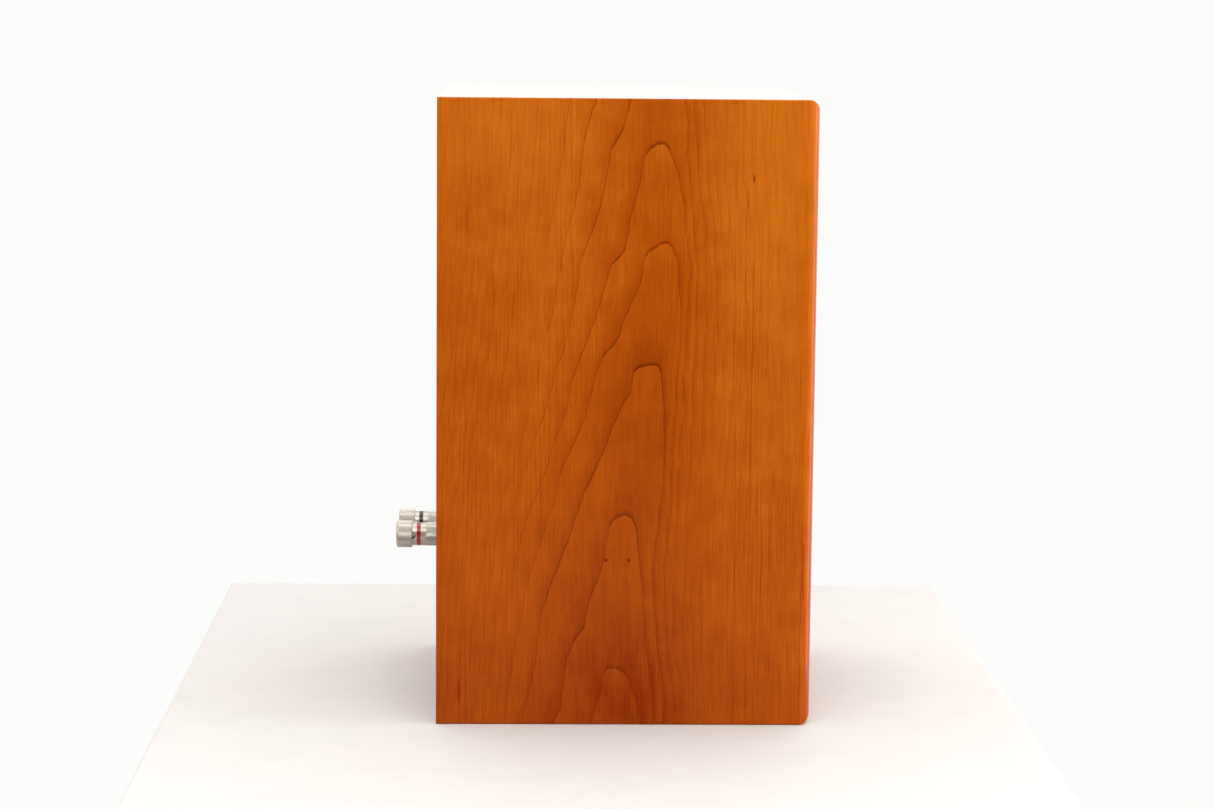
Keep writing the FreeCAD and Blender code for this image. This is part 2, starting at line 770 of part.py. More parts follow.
def make_spider():
    """The corrugated centring disc, from the former to the basket's ledge."""
    back = front_y + spider_depth
    outer = basket_wall_radius(spider_depth) - 0.3
    lip = outer - spider_ledge
    inner = former_radius + 0.05
    start = inner + 2.0
    pitch = (lip - start) / spider_waves
    rear_edges, front_edges = [], []
    rear = [(outer, back), (lip, back)]
    for i in range(spider_waves):
        right = lip - i * pitch
        sign = -1 if i % 2 == 0 else 1
        rear_edges.append(
            arc((right, back), (right - pitch / 2, back + sign * spider_wave), (right - pitch, back))
        )
        front_edges.append(
            arc(
                (right, back - spider_skin),
                (right - pitch / 2, back - spider_skin + sign * spider_wave),
                (right - pitch, back - spider_skin),
            )
        )
    front = back - spider_skin
    edges = [line(*rear)] + rear_edges
    edges += [line((start, back), (inner, back)), line((inner, back), (inner, front))]
    edges += [line((inner, front), (start, front))] + front_edges
    edges += [line((lip, front), (outer, front)), line((outer, front), (outer, back))]
    save("woofer_spider", turned(edges, 0, woofer_z))


def make_woofer_motor():
    y = front_y
    plate = tube(woofer_magnet_radius - 2, gap_radius, y + top_plate_front, y + top_plate_back, 0, woofer_z)
    save("woofer_top_plate", plate)
    magnet = tube(woofer_magnet_radius, woofer_magnet_bore, y + top_plate_back, y + magnet_back, 0, woofer_z)
    save("woofer_magnet", magnet)
    yoke_back = y + magnet_back + woofer_back_plate
    plate = rod(woofer_magnet_radius - 2, y + magnet_back, yoke_back, 0, woofer_z)
    pole = rod(pole_radius, y + top_plate_front, y + magnet_back, 0, woofer_z)
    vent = rod(woofer_vent_radius, y, yoke_back + 1, 0, woofer_z)
    save("woofer_yoke", plate.fuse(pole).cut(vent).removeSplitter())


def make_woofer_terminals():
    back = front_y + tag_board_depth()
    low = tag_board_bottom()
    board = box(-9, 9, back, back + 1.5, low, tag_board_top())
    save("woofer_tag_board", board)
    tags = []
    for sign in (-1, 1):
        x = sign * 5
        tags.append(box(x - 2.4, x + 2.4, back + 1.5, back + 2.3, low + 1, tag_board_top() + 6))
    save("woofer_tags", *tags)


def make_tinsel_leads():
    """Two flexible braids from the tag board through a basket window to the cone's back."""
    y = front_y
    outer = woofer_z + basket_wall_radius(basket_window_front) + basket_wall + 1.2
    landing = (cone_rim_inner + former_radius) / 2
    leads = []
    for sign in (-1, 1):
        x = sign * 5
        cone_back = y + cone_front_depth(math.hypot(landing, x)) + cone_skin + 0.9
        start = woofer_z + basket_outer_radius(window_back_depth()) + 1.2
        lug_front = y + tag_board_depth() - 4
        points = [
            (x, lug_front, start),
            (x, lug_front - 5, start),
            (x, y + 17.0, outer - 2),
            (x, y + 14.0, outer - 9),
            (x, cone_back + 2.0, woofer_z + landing + 6),
            (x, cone_back, woofer_z + landing),
        ]
        leads.append(bent_wire(points, tinsel_radius))
    save("woofer_tinsel_leads", *leads)


# ---------------------------------------------------------------- tweeter
def tweeter_head_seat():
    return front_y + tweeter_screw_head_height


def make_tweeter_plate():
    y = front_y
    boss_outer = tweeter_motor_radius
    boss_inner = boss_outer - tweeter_boss_wall
    edge = 0.6
    profile = [
        (tweeter_plate_radius, y + edge),
        (tweeter_plate_radius - edge, y),
        (tweeter_flare_radius, y),
        (tweeter_throat_radius, y + tweeter_throat_depth),
        (tweeter_throat_radius, y + tweeter_plate_thickness),
        (boss_inner, y + tweeter_plate_thickness),
        (boss_inner, y + tweeter_top_front),
        (boss_outer, y + tweeter_top_front),
        (boss_outer, y + tweeter_plate_thickness),
        (tweeter_plate_radius, y + tweeter_plate_thickness),
    ]
    plate = turned(polyline(profile), 0, tweeter_z)
    for angle in around(tweeter_screws, 45):
        x, z = on_circle(tweeter_screw_circle, angle, tweeter_z)
        plate = plate.cut(rod(tweeter_screw_radius + 0.2, y - 1, y + tweeter_plate_thickness + 1, x, z))
        plate = plate.cut(rod(tweeter_screw_head + 0.25, y - 1, tweeter_head_seat(), x, z))
    save("tweeter_faceplate", plate)


def make_tweeter_gasket():
    low = front_y + tweeter_plate_thickness
    ring = tube(tweeter_plate_radius - 0.5, tweeter_cutout + 0.5, low, low + gasket_thickness, 0, tweeter_z)
    for angle in around(tweeter_screws, 45):
        x, z = on_circle(tweeter_screw_circle, angle, tweeter_z)
        ring = ring.cut(rod(tweeter_screw_radius + 0.5, low - 1, low + 2, x, z))
    save("tweeter_gasket", ring)


def make_tweeter_screws():
    screws = []
    for angle in around(tweeter_screws, 45):
        x, z = on_circle(tweeter_screw_circle, angle, tweeter_z)
        screws.append(
            pan_screw(
                x, z, tweeter_head_seat(), -1, tweeter_screw_radius, tweeter_screw_head,
                tweeter_screw_head_height, tweeter_screw_length,
            )
        )
    save("tweeter_screws", *screws)


def make_tweeter_dome():
    base = front_y + dome_base_depth
    save("tweeter_dome", dome_shell(dome_radius, dome_height, dome_skin, base, 0, tweeter_z))
    coil_mid = front_y + (tweeter_top_front + tweeter_top_back) / 2
    half = tweeter_coil_length / 2
    former = tube(dome_radius, dome_radius - 0.2, base, coil_mid + half + 0.6, 0, tweeter_z)
    winding = tube(tweeter_coil_outer, dome_radius, coil_mid - half, coil_mid + half, 0, tweeter_z)
    save("tweeter_voice_coil", former.fuse(winding).removeSplitter())


def make_tweeter_surround():
    """The dome's small roll and its flange, clamped behind the faceplate."""
    front = front_y + tweeter_plate_thickness
    back = front + tweeter_skin
    middle = (front + back) / 2
    big, small = tweeter_roll_radius + tweeter_skin / 2, tweeter_roll_radius - tweeter_skin / 2
    centre = dome_radius + 0.15 + big
    reach_big = math.sqrt(big**2 - (tweeter_skin / 2) ** 2)
    reach_small = math.sqrt(small**2 - (tweeter_skin / 2) ** 2)
    flange = tweeter_motor_radius - tweeter_boss_wall - 0.3
    edges = [
        line((flange, back), (centre + reach_small, back)),
        arc((centre + reach_small, back), (centre, middle - small), (centre - reach_small, back)),
        line((centre - reach_small, back), (centre - reach_big, front)),
        arc((centre - reach_big, front), (centre, middle - big), (centre + reach_big, front)),
        line((centre + reach_big, front), (flange, front)),
        line((flange, front), (flange, back)),
    ]
    save("tweeter_surround", turned(edges, 0, tweeter_z))


def make_tweeter_motor():
    y, z = front_y, tweeter_z
    outer = tweeter_motor_radius
    front, back = y + tweeter_top_front, y + tweeter_top_back
    save("tweeter_top_plate", tube(outer - 2, tweeter_gap_radius, front, back, 0, z))
    save("tweeter_magnet", tube(outer, tweeter_magnet_bore, back, y + tweeter_magnet_back, 0, z))
    plate = rod(outer - 2, y + tweeter_magnet_back, y + tweeter_motor_back, 0, z)
    pole = rod(dome_radius - 0.2 - tweeter_coil_gap, y + tweeter_top_front, y + tweeter_magnet_back, 0, z)
    vent = rod(tweeter_vent_radius, y, y + tweeter_motor_back + 1, 0, z)
    save("tweeter_yoke", plate.fuse(pole).cut(vent).removeSplitter())
    low, high = y + tweeter_motor_back, y + tweeter_motor_back + tweeter_cup_depth
    cup = rod(tweeter_cup_radius, low, high, 0, z)
    outer_edge = [e for e in cup.Edges if abs(e.BoundBox.Center.y - high) < 1e-6]
    cup = cup.makeFillet(tweeter_cup_wall, outer_edge)
    hollow = rod(tweeter_cup_radius - tweeter_cup_wall, low - 1, high - tweeter_cup_wall, 0, z)
    save("tweeter_rear_chamber", cup.cut(hollow))


def tweeter_tag_end():
    """Where the tags end, behind both the motor and the baffle."""
    return max(front_y + tweeter_motor_back, baffle_back_y) + 5


def tweeter_tag_top():
    return tweeter_z - tweeter_motor_radius - 0.1


def make_tweeter_terminals():
    y0, y1 = front_y + tweeter_plate_thickness, tweeter_tag_end()
    top = tweeter_tag_top()
    tags = []
    for sign in (-1, 1):
        x = sign * 6
        tags.append(box(x - 2.4, x + 2.4, y0, y1, top - 0.8, top))
    save("tweeter_tags", *tags)


# ---------------------------------------------------------------- reflex port
def port_flange_radius():
    return port_bore_radius + port_flare + port_flange_width


def port_hole_radius():
    return port_bore_radius + port_flare / 2 + port_wall + 0.5


def make_port():
    """A flared tube with a flush flange at the rear and a small flare inside."""
    bore, flare = port_bore_radius, port_flare
    mouth, tail = rear_y, rear_y - port_length
    outer = bore + port_wall
    half = math.sqrt(0.5)
    inner = port_inner_flare
    shoulder = port_hole_radius() - 0.4
    seat = mouth - port_flange_thickness
    edges = [
        line((port_flange_radius(), mouth), (bore + flare, mouth)),
        arc(
            (bore + flare, mouth),
            (bore + flare - flare * half, mouth - flare + flare * half),
            (bore, mouth - flare),
        ),
        line((bore, mouth - flare), (bore, tail + inner)),
        arc(
            (bore, tail + inner),
            (bore + inner - inner * half, tail + inner - inner * half),
            (bore + inner, tail),
        ),
        line((bore + inner, tail), (bore + inner + port_wall, tail)),
        line((bore + inner + port_wall, tail), (outer, tail + inner + port_wall)),
        line((outer, tail + inner + port_wall), (outer, mouth - flare)),
        line((outer, mouth - flare), (shoulder, seat)),
        line((shoulder, seat), (port_flange_radius(), seat)),
        line((port_flange_radius(), seat), (port_flange_radius(), mouth)),
    ]
    save("port_tube", turned(edges, 0, port_z))


# ---------------------------------------------------------------- terminal plate and posts
def make_terminal_plate():
    half_w, half_h = plate_width / 2, plate_height / 2
    low, high = post_height - half_h, post_height + half_h
    plate = rounded_plate_y(-half_w, half_w, low, high, plate_corner, rear_y - plate_thickness, rear_y)
    outer_edges = [e for e in plate.Edges if abs(e.BoundBox.YMin - rear_y) < 1e-6]
    plate = plate.makeChamfer(0.4, outer_edges)
    margin = plate_hole_margin
    seal = rounded_plate_y(
        -half_w + 1, half_w - 1, low + 1, high - 1,
        plate_corner - 1, rear_y - plate_recess, rear_y + plate_back,
    )
    hole = rounded_plate_y(
        -half_w + margin, half_w - margin, low + margin, high - margin, plate_corner, rear_y - 10, rear_y
    )
    seal = seal.cut(hole)
    for x in post_x.values():
        plate = plate.cut(rod(bushing_spigot, rear_y - 10, rear_y + 1, x, post_height))
    screws = []
    for x, z in plate_screw_places():
        plate = plate.cut(rod(plate_screw_radius + 0.2, rear_y - 10, rear_y + 1, x, z))
        seal = seal.cut(rod(plate_screw_radius + 0.5, rear_y - 10, rear_y + 1, x, z))
        screws.append(
            pan_screw(
                x, z, rear_y, 1, plate_screw_radius, plate_screw_head,
                plate_screw_head_height, plate_screw_length,
            )
        )
    save("terminal_plate", plate)
    save("terminal_plate_seal", seal)
    save("terminal_plate_screws", *screws)


def make_post_body(colour):
    """The fixed metal part of a post: ribbed sleeve, collar with a ring groove, and the stem."""
    x, z = post_x[colour], post_height
    y = rear_y
    sleeve = ribbed_rod(sleeve_radius, y + sleeve_start, y + sleeve_end, x, z)
    collar = rod(collar_radius, y + sleeve_end, y + collar_end, x, z)
    groove = tube(collar_radius + 1, collar_radius - ring_depth, y + ring_start, y + ring_end, x, z)
    stem = rod(stem_radius, y - stem_inside, y + stem_tip, x, z)
    body = sleeve.fuse(collar).cut(groove).fuse(stem)
    wire_hole = Part.makeCylinder(wire_hole_radius, 40, V(x - 20, y + collar_end, z), V(1, 0, 0))
    socket = rod(banana_radius, y + stem_tip - banana_depth, y + stem_tip + 1, x, z)
    save(f"{colour}_post_body", body.cut(wire_hole).cut(socket).removeSplitter())
    ring = tube(collar_radius + ring_proud, collar_radius - ring_depth, y + ring_start, y + ring_end, x, z)
    save(f"{colour}_post_ring", ring)


def make_post_cap(colour):
    """The clamp nut that turns on the stem, and the captive washer that it carries without turning it."""
    x, z = post_x[colour], post_height
    start, end = rear_y + cap_start, rear_y + cap_end
    shoulder = end - cap_edge
    nose = cap_radius - knurl_depth
    half = math.sqrt(0.5)
    profile = [
        line((0, shoulder), (nose, shoulder)),
        arc(
            (nose, shoulder),
            (nose - cap_edge + cap_edge * half, shoulder + cap_edge * half),
            (nose - cap_edge, end),
        ),
        line((nose - cap_edge, end), (0, end)),
        line((0, end), (0, shoulder)),
    ]
    cap = ribbed_rod(cap_radius, start, shoulder, x, z).fuse(turned(profile, x, z))
    cap = cap.cut(rod(stem_radius + cap_running_gap, start - 1, end + 1, x, z))
    pocket = washer_thickness + 2 * cap_running_gap
    cap = cap.cut(rod(washer_radius + cap_running_gap, start - 1, start + pocket, x, z))
    save(f"{colour}_post_cap", cap)
    washer = tube(washer_radius, stem_radius + cap_running_gap, start, start + washer_thickness, x, z)
    save(f"{colour}_post_washer", washer)


def make_post_mountings():
    """Bushings either side of the plate, nuts and solder tags, for both posts."""
    outer_bushes, inner_bushes, nuts, tags = [], [], [], []
    y = rear_y
    inner_start = -plate_thickness - bushing_thickness
    tag_start = inner_start - nut_thickness - tag_thickness
    for x in post_x.values():
        z = post_height
        flange = rod(bushing_radius, y, y + bushing_thickness, x, z)
        spigot = rod(bushing_spigot, y - plate_thickness, y, x, z)
        bore = rod(stem_radius, y - 10, y + 10, x, z)
        outer_bushes.append(flange.fuse(spigot).cut(bore).removeSplitter())
        inner_bushes.append(tube(nut_washer_radius, stem_radius, y + inner_start, y - plate_thickness, x, z))
        for top in (inner_start, tag_start):
            nut = hexagon(nut_across_flats, y + top, -nut_thickness, x, z)
            nuts.append(nut.cut(rod(stem_radius, y - 60, y, x, z)))
        eye = rod(tag_width, y + tag_start, y + tag_start + tag_thickness, x, z)
        half = tag_width / 2
        tongue = box(x - half, x + half, y + tag_start, y + tag_start + tag_thickness, z - tag_length, z)
        tags.append(eye.fuse(tongue).cut(rod(stem_radius, y - 60, y, x, z)).removeSplitter())
    save("post_bushings", *outer_bushes)
    save("post_insulating_washers", *inner_bushes)
    save("post_nuts", *nuts)
    save("post_solder_tags", *tags)


# ---------------------------------------------------------------- crossover
def make_crossover():
    z0 = floor_z + board_standoff
    half = board_width / 2
    board = rounded_plate_z(-half, half, board_front_y, board_rear_y, 3, z0, board_top)
    inset = board_screw_inset
    rows = (board_front_y + inset, board_rear_y - inset)
    places = [(sx * (half - inset), y) for sx in (-1, 1) for y in rows]
    standoffs, screws = [], []
    for x, y in places:
        board = board.cut(post(standoff_screw_radius, z0 - 1, board_top + 1, x, y))
        leg = post(standoff_radius, floor_z, z0, x, y)
        standoffs.append(leg.cut(post(standoff_screw_radius, floor_z - 1, z0 + 1, x, y)))
        head = post(standoff_screw_radius * 1.9, board_top, board_top + 1.8, x, y)
        screws.append(head.fuse(post(standoff_screw_radius, floor_z, board_top, x, y)).removeSplitter())
    save("crossover_board", board)
    save("crossover_standoffs", *standoffs)
    save("crossover_screws", *screws)

    left_x = -half + board_edge + left_column / 2
    right_x = half - board_edge - right_column / 2
    coils_rear = board_rear_y - board_lead_strip
    coil_spots = []
    for x, outer, bore, height in (
        (left_x, bass_coil_radius, bass_coil_bore, bass_coil_height),
        (right_x, treble_coil_radius, treble_coil_bore, treble_coil_height),
    ):
        coil_spots.append((x, coils_rear - outer - bobbin_rim, outer, bore, height))
    windings, bobbins = [], []
    for x, y, outer, bore, height in coil_spots:
        low = board_top + bobbin_flange
        high = low + height
        windings.append(post(outer, low, high, x, y).cut(post(bore, low - 1, high + 1, x, y)))
        spool = post(outer + bobbin_rim, board_top, low, x, y)
        spool = spool.fuse(post(outer + bobbin_rim, high, high + bobbin_flange, x, y))
        spool = spool.fuse(post(bore, board_top, high + bobbin_flange, x, y))
        spool = spool.cut(post(bore - bobbin_flange, board_top - 1, high + 9, x, y))
        bobbins.append(spool.removeSplitter())
    save("crossover_coils", *windings)
    save("crossover_bobbins", *bobbins)

    front = board_front_y + board_edge
    bass_r, treble_r = bass_capacitor[0], treble_capacitor[0]
    spots = [
        (left_x, front + bass_r, bass_capacitor),
        (left_x, front + 2 * bass_r + component_gap + treble_r, treble_capacitor),
        (right_x, front + 2 * (resistor_side + component_gap) + treble_r, treble_capacitor),
    ]
    capacitors = []
    for x, y, (radius, length) in spots:
        centre = V(x - length / 2, y, board_top + component_lift + radius)
        can = Part.makeCylinder(radius, length, centre, V(1, 0, 0))
        ends = [e for e in can.Edges if abs(e.Length - 2 * math.pi * radius) < 1e-3]
        capacitors.append(can.makeFillet(min(1.2, radius / 4), ends))
    save("crossover_capacitors", *capacitors)

    resistors = []
    low, high = board_top + component_lift, board_top + component_lift + resistor_side
    for i in range(2):
        y = front + i * (resistor_side + component_gap)
        x0, x1 = right_x - resistor_length / 2, right_x + resistor_length / 2
        resistors.append(box(x0, x1, y, y + resistor_side, low, high))
    save("crossover_resistors", *resistors)


# ---------------------------------------------------------------- wiring
def lead_routes(sign):
    """The three leads of one polarity, as points: post to board, board to woofer, board to tweeter."""
    x_post = sign * post_spacing / 2
    tag_y = rear_y - plate_thickness - bushing_thickness - nut_thickness - tag_thickness
    tag_z = post_height - tag_length + 3
    landing = board_top + lead_radius + 0.1
    land_y = board_rear_y - board_lead_strip + 4
    feed = [
        (x_post, tag_y, tag_z),
        (x_post, rear_inner_y - 3, tag_z),
        (x_post, rear_inner_y - 10, tag_z - 14),
        (x_post * 0.9, board_rear_y + 14, landing + 16),
        (x_post * 0.6, board_rear_y + 4, landing + 3),
        (x_post * 0.4, land_y, landing),
    ]
    tag_back = front_y + tag_board_depth() + 2.3
    tags_z = tag_board_top() + 3
    x_rise = sign * (board_width / 2 - 14)
    woofer = [
        (x_rise, land_y, landing),
        (x_rise, board_rear_y + 3, landing + 3),
        (x_rise, board_rear_y + 12, landing + 24),
        (x_rise * 0.98, board_rear_y + 8, landing + 70),
        (x_rise * 0.8, board_rear_y - 20, tags_z - 22),
        (sign * 16, tag_back + 32, tags_z - 2),
        (sign * 5, tag_back + 10, tags_z),
        (sign * 5, tag_back, tags_z),
    ]
    x_window = sign * (max(port_tail_radius, brace_rim / 2 + 16) + lead_radius + port_clearance)
    tweeter_tag = tweeter_tag_top() - 0.4
    tweeter_back = tweeter_tag_end()
    tweeter = [
        (x_window * 0.8, land_y, landing),
        (x_window * 0.85, board_rear_y + 4, landing + 4),
        (x_window, board_rear_y + 11, landing + 30),
        (x_window, board_rear_y + 9, landing + 85),
        (x_window, board_rear_y - 2, brace_z - 14),
        (x_window, board_rear_y - 22, brace_z + 18),
        (x_window, port_tail_y - 12, tweeter_tag + 2),
        (x_window * 0.6, (port_tail_y - 12 + tweeter_back) / 2, tweeter_tag - 1),
        (sign * 6, tweeter_back + 9, tweeter_tag),
        (sign * 6, tweeter_back, tweeter_tag),
    ]
    return feed, woofer, tweeter


def make_leads():
    for name, sign in (("leads_positive", -1), ("leads_negative", 1)):
        save(name, *[bent_wire(route, lead_radius) for route in lead_routes(sign)])


# ---------------------------------------------------------------- damping
def make_damping_pads():
    """Wadding on the side boards, below and above the brace, and one pad under the top board."""
    y0, y1 = baffle_back_y + pad_margin, rear_inner_y - pad_margin
    z_brace0, z_brace1 = brace_z - brace_thickness / 2, brace_z + brace_thickness / 2
    spans = [
        (floor_z + pad_margin, z_brace0 - pad_margin),
        (z_brace1 + pad_margin, ceiling_z - pad_thickness - 2),
    ]
    face_x = max(inner_x - pad_thickness, board_width / 2 + pad_clearance)
    pads = []
    for sign in (-1, 1):
        for z0, z1 in spans:
            x0, x1 = sorted((sign * face_x, sign * (inner_x - 0.2)))
            pads.append(box(x0, x1, y0, y1, z0, z1))
    x1 = inner_x - 0.2
    under = max(ceiling_z - pad_thickness, tweeter_z + tweeter_motor_radius + pad_clearance)
    pads.append(box(-x1, x1, y0, y1, under, ceiling_z - 0.2))
    save("damping_pads", *pads)


def main():
    os.makedirs("parts", exist_ok=True)
    outer = envelope()
    make_wrap(outer)
    make_baffle(outer)
    make_rear_panel()
    make_brace()
    make_grille_sockets()
    make_woofer_basket()
    make_woofer_gasket()
    make_woofer_screws()
    make_woofer_surround()
    make_woofer_cone()
    make_dust_cap()
    make_voice_coil()
    make_spider()
    make_woofer_motor()
    make_woofer_terminals()
    make_tinsel_leads()
    make_tweeter_plate()
    make_tweeter_gasket()
    make_tweeter_screws()
    make_tweeter_dome()
    make_tweeter_surround()
    make_tweeter_motor()
    make_tweeter_terminals()
    make_port()
    make_terminal_plate()
    for colour in post_x:
        make_post_body(colour)
        make_post_cap(colour)
    make_post_mountings()
    make_crossover()
    make_leads()
    make_damping_pads()


main()
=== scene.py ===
"""A two-way bookshelf loudspeaker in cherry veneer: its looks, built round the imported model."""

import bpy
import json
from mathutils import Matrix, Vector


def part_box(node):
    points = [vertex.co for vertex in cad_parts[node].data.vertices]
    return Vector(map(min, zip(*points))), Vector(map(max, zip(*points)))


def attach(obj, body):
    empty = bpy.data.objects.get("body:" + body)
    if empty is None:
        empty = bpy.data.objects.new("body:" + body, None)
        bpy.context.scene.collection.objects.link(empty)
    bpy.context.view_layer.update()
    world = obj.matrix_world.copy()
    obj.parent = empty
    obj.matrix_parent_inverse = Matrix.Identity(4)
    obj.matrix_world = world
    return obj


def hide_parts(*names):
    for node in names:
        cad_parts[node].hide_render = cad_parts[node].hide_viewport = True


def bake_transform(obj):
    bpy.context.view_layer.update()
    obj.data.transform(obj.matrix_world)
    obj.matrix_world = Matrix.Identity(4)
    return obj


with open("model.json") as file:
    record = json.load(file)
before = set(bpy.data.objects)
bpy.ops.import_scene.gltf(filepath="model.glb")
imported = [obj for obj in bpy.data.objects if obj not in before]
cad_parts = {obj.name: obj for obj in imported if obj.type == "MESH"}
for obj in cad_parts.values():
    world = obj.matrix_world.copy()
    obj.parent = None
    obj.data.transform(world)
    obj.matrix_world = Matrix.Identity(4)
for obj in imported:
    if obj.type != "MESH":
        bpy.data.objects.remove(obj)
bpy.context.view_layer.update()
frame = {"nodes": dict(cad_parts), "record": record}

import json
import math

import bmesh
import bpy
from mathutils import Matrix, Vector

bl_info = {
    "name": "Cherry Bookshelf Loudspeaker",
    "version": (1, 0, 0),
    "blender": (4, 5, 0),
    "location": "3D View > Sidebar > Loudspeaker",
    "description": "Finishes and finely modelled pieces of a two-way bookshelf loudspeaker",
    "category": "Object",
}

MM = 0.001
SLOT_OF = {part["node"]: part["material_slot"] for part in frame["record"]["subparts"]}


def linear(red, green, blue):
    """A screen colour, 0 to 255 a channel, as the linear colour that a shader takes."""
    channels = []
    for value in (red, green, blue):
        value /= 255
        channels.append(value / 12.92 if value <= 0.04045 else ((value + 0.055) / 1.055) ** 2.4)
    return (*channels, 1.0)


def middle(node):
    """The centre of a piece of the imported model."""
    low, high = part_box(node)
    return (low + high) / 2


# ---------------------------------------------------------------- settings
class LoudspeakerFinish(bpy.types.PropertyGroup):
    """Colours and gloss that a user would change."""

    cherry_light: bpy.props.FloatVectorProperty(
        name="Light Cherry", description="Early wood between the growth lines",
        default=linear(204, 108, 22)[:3], subtype="COLOR", min=0, max=1)
    cherry_middle: bpy.props.FloatVectorProperty(
        name="Middle Cherry", description="The veneer's main colour",
        default=linear(176, 78, 8)[:3], subtype="COLOR", min=0, max=1)
    # The dark cherry colour also carries the painted shade towards the bottom of the boards.
    cherry_dark: bpy.props.FloatVectorProperty(
        name="Dark Cherry", description="Late wood and mottled patches",
        default=linear(132, 44, 0)[:3], subtype="COLOR", min=0, max=1)
    cherry_line: bpy.props.FloatVectorProperty(
        name="Growth Line", description="The thin line that ends each growth ring",
        default=linear(88, 26, 0)[:3], subtype="COLOR", min=0, max=1)
    lacquer_roughness: bpy.props.FloatProperty(
        name="Lacquer Roughness", description="How satin the lacquer over the veneer is",
        default=0.27, min=0.02, max=1, subtype="FACTOR")
    post_metal: bpy.props.FloatVectorProperty(
        name="Post Metal", description="Satin nickel of the binding posts",
        default=linear(198, 191, 181)[:3], subtype="COLOR", min=0, max=1)
    positive_ring: bpy.props.FloatVectorProperty(
        name="Positive Ring", description="Band round the positive post's collar",
        default=linear(190, 5, 13)[:3], subtype="COLOR", min=0, max=1)
    black_plastic: bpy.props.FloatVectorProperty(
        name="Black Plastic", description="Moulded parts of the drivers, port and terminal plate",
        default=linear(20, 20, 21)[:3], subtype="COLOR", min=0, max=1)


class LoudspeakerShape(bpy.types.PropertyGroup):
    """Fineness of the turned pieces."""

    turning_steps: bpy.props.IntProperty(
        name="Turning Steps", description="Facets round a fully turned piece",
        default=192, min=48, max=512)
    surround_sectors: bpy.props.IntProperty(
        name="Surround Sectors", description="Pieces that a flexing ring is made of",
        default=24, min=8, max=48)
    wadding_sag: bpy.props.FloatProperty(
        name="Wadding Sag", description="How far the wadding's face swells and dips",
        default=1.2 * MM, min=0, max=3 * MM, unit="LENGTH")


class LoudspeakerStage(bpy.types.PropertyGroup):
    """Camera and light."""

    lens: bpy.props.FloatProperty(
        name="Lens", description="Focal length on a 36 mm wide sensor",
        default=88.64, min=20, max=300, unit="CAMERA")
    camera_place: bpy.props.FloatVectorProperty(
        name="Camera Place", description="Where the camera stands",
        default=(-1.6943, 0.0522, 0.3920), subtype="TRANSLATION", unit="LENGTH")
    camera_tilt: bpy.props.FloatProperty(
        name="Tilt", description="How far the camera looks down",
        default=math.radians(7.721), subtype="ANGLE", unit="ROTATION")
    camera_turn: bpy.props.FloatProperty(
        name="Turn", description="How far the camera looks towards the front of the cabinet",
        default=math.radians(1.505), subtype="ANGLE", unit="ROTATION")
    camera_roll: bpy.props.FloatProperty(
        name="Roll", description="Turn about the line of sight",
        default=math.radians(0.544), subtype="ANGLE", unit="ROTATION")
    room_light: bpy.props.FloatProperty(
        name="Room Light", description="Strength of the white light from the darker half of the room",
        default=0.07, min=0, max=5)
    softbox_power: bpy.props.FloatProperty(
        name="Softbox Power", description="Power of the overhead softbox",
        default=11.5, min=0, max=500, unit="POWER")
    side_power: bpy.props.FloatProperty(
        name="Side Power", description="Power of each of the two lights that face the cabinet's side",
        default=10.6, min=0, max=500, unit="POWER")
    front_power: bpy.props.FloatProperty(
        name="Front Power", description="Power of the high light behind the camera",
        default=17.5, min=0, max=500, unit="POWER")
    edge_power: bpy.props.FloatProperty(
        name="Edge Power", description="Power of the light that draws the front edge",
        default=14.0, min=0, max=500, unit="POWER")
    glow_power: bpy.props.FloatProperty(
        name="Glow Power", description="Power of the bright band behind, which the top board mirrors",
        default=1.7, min=0, max=500, unit="POWER")


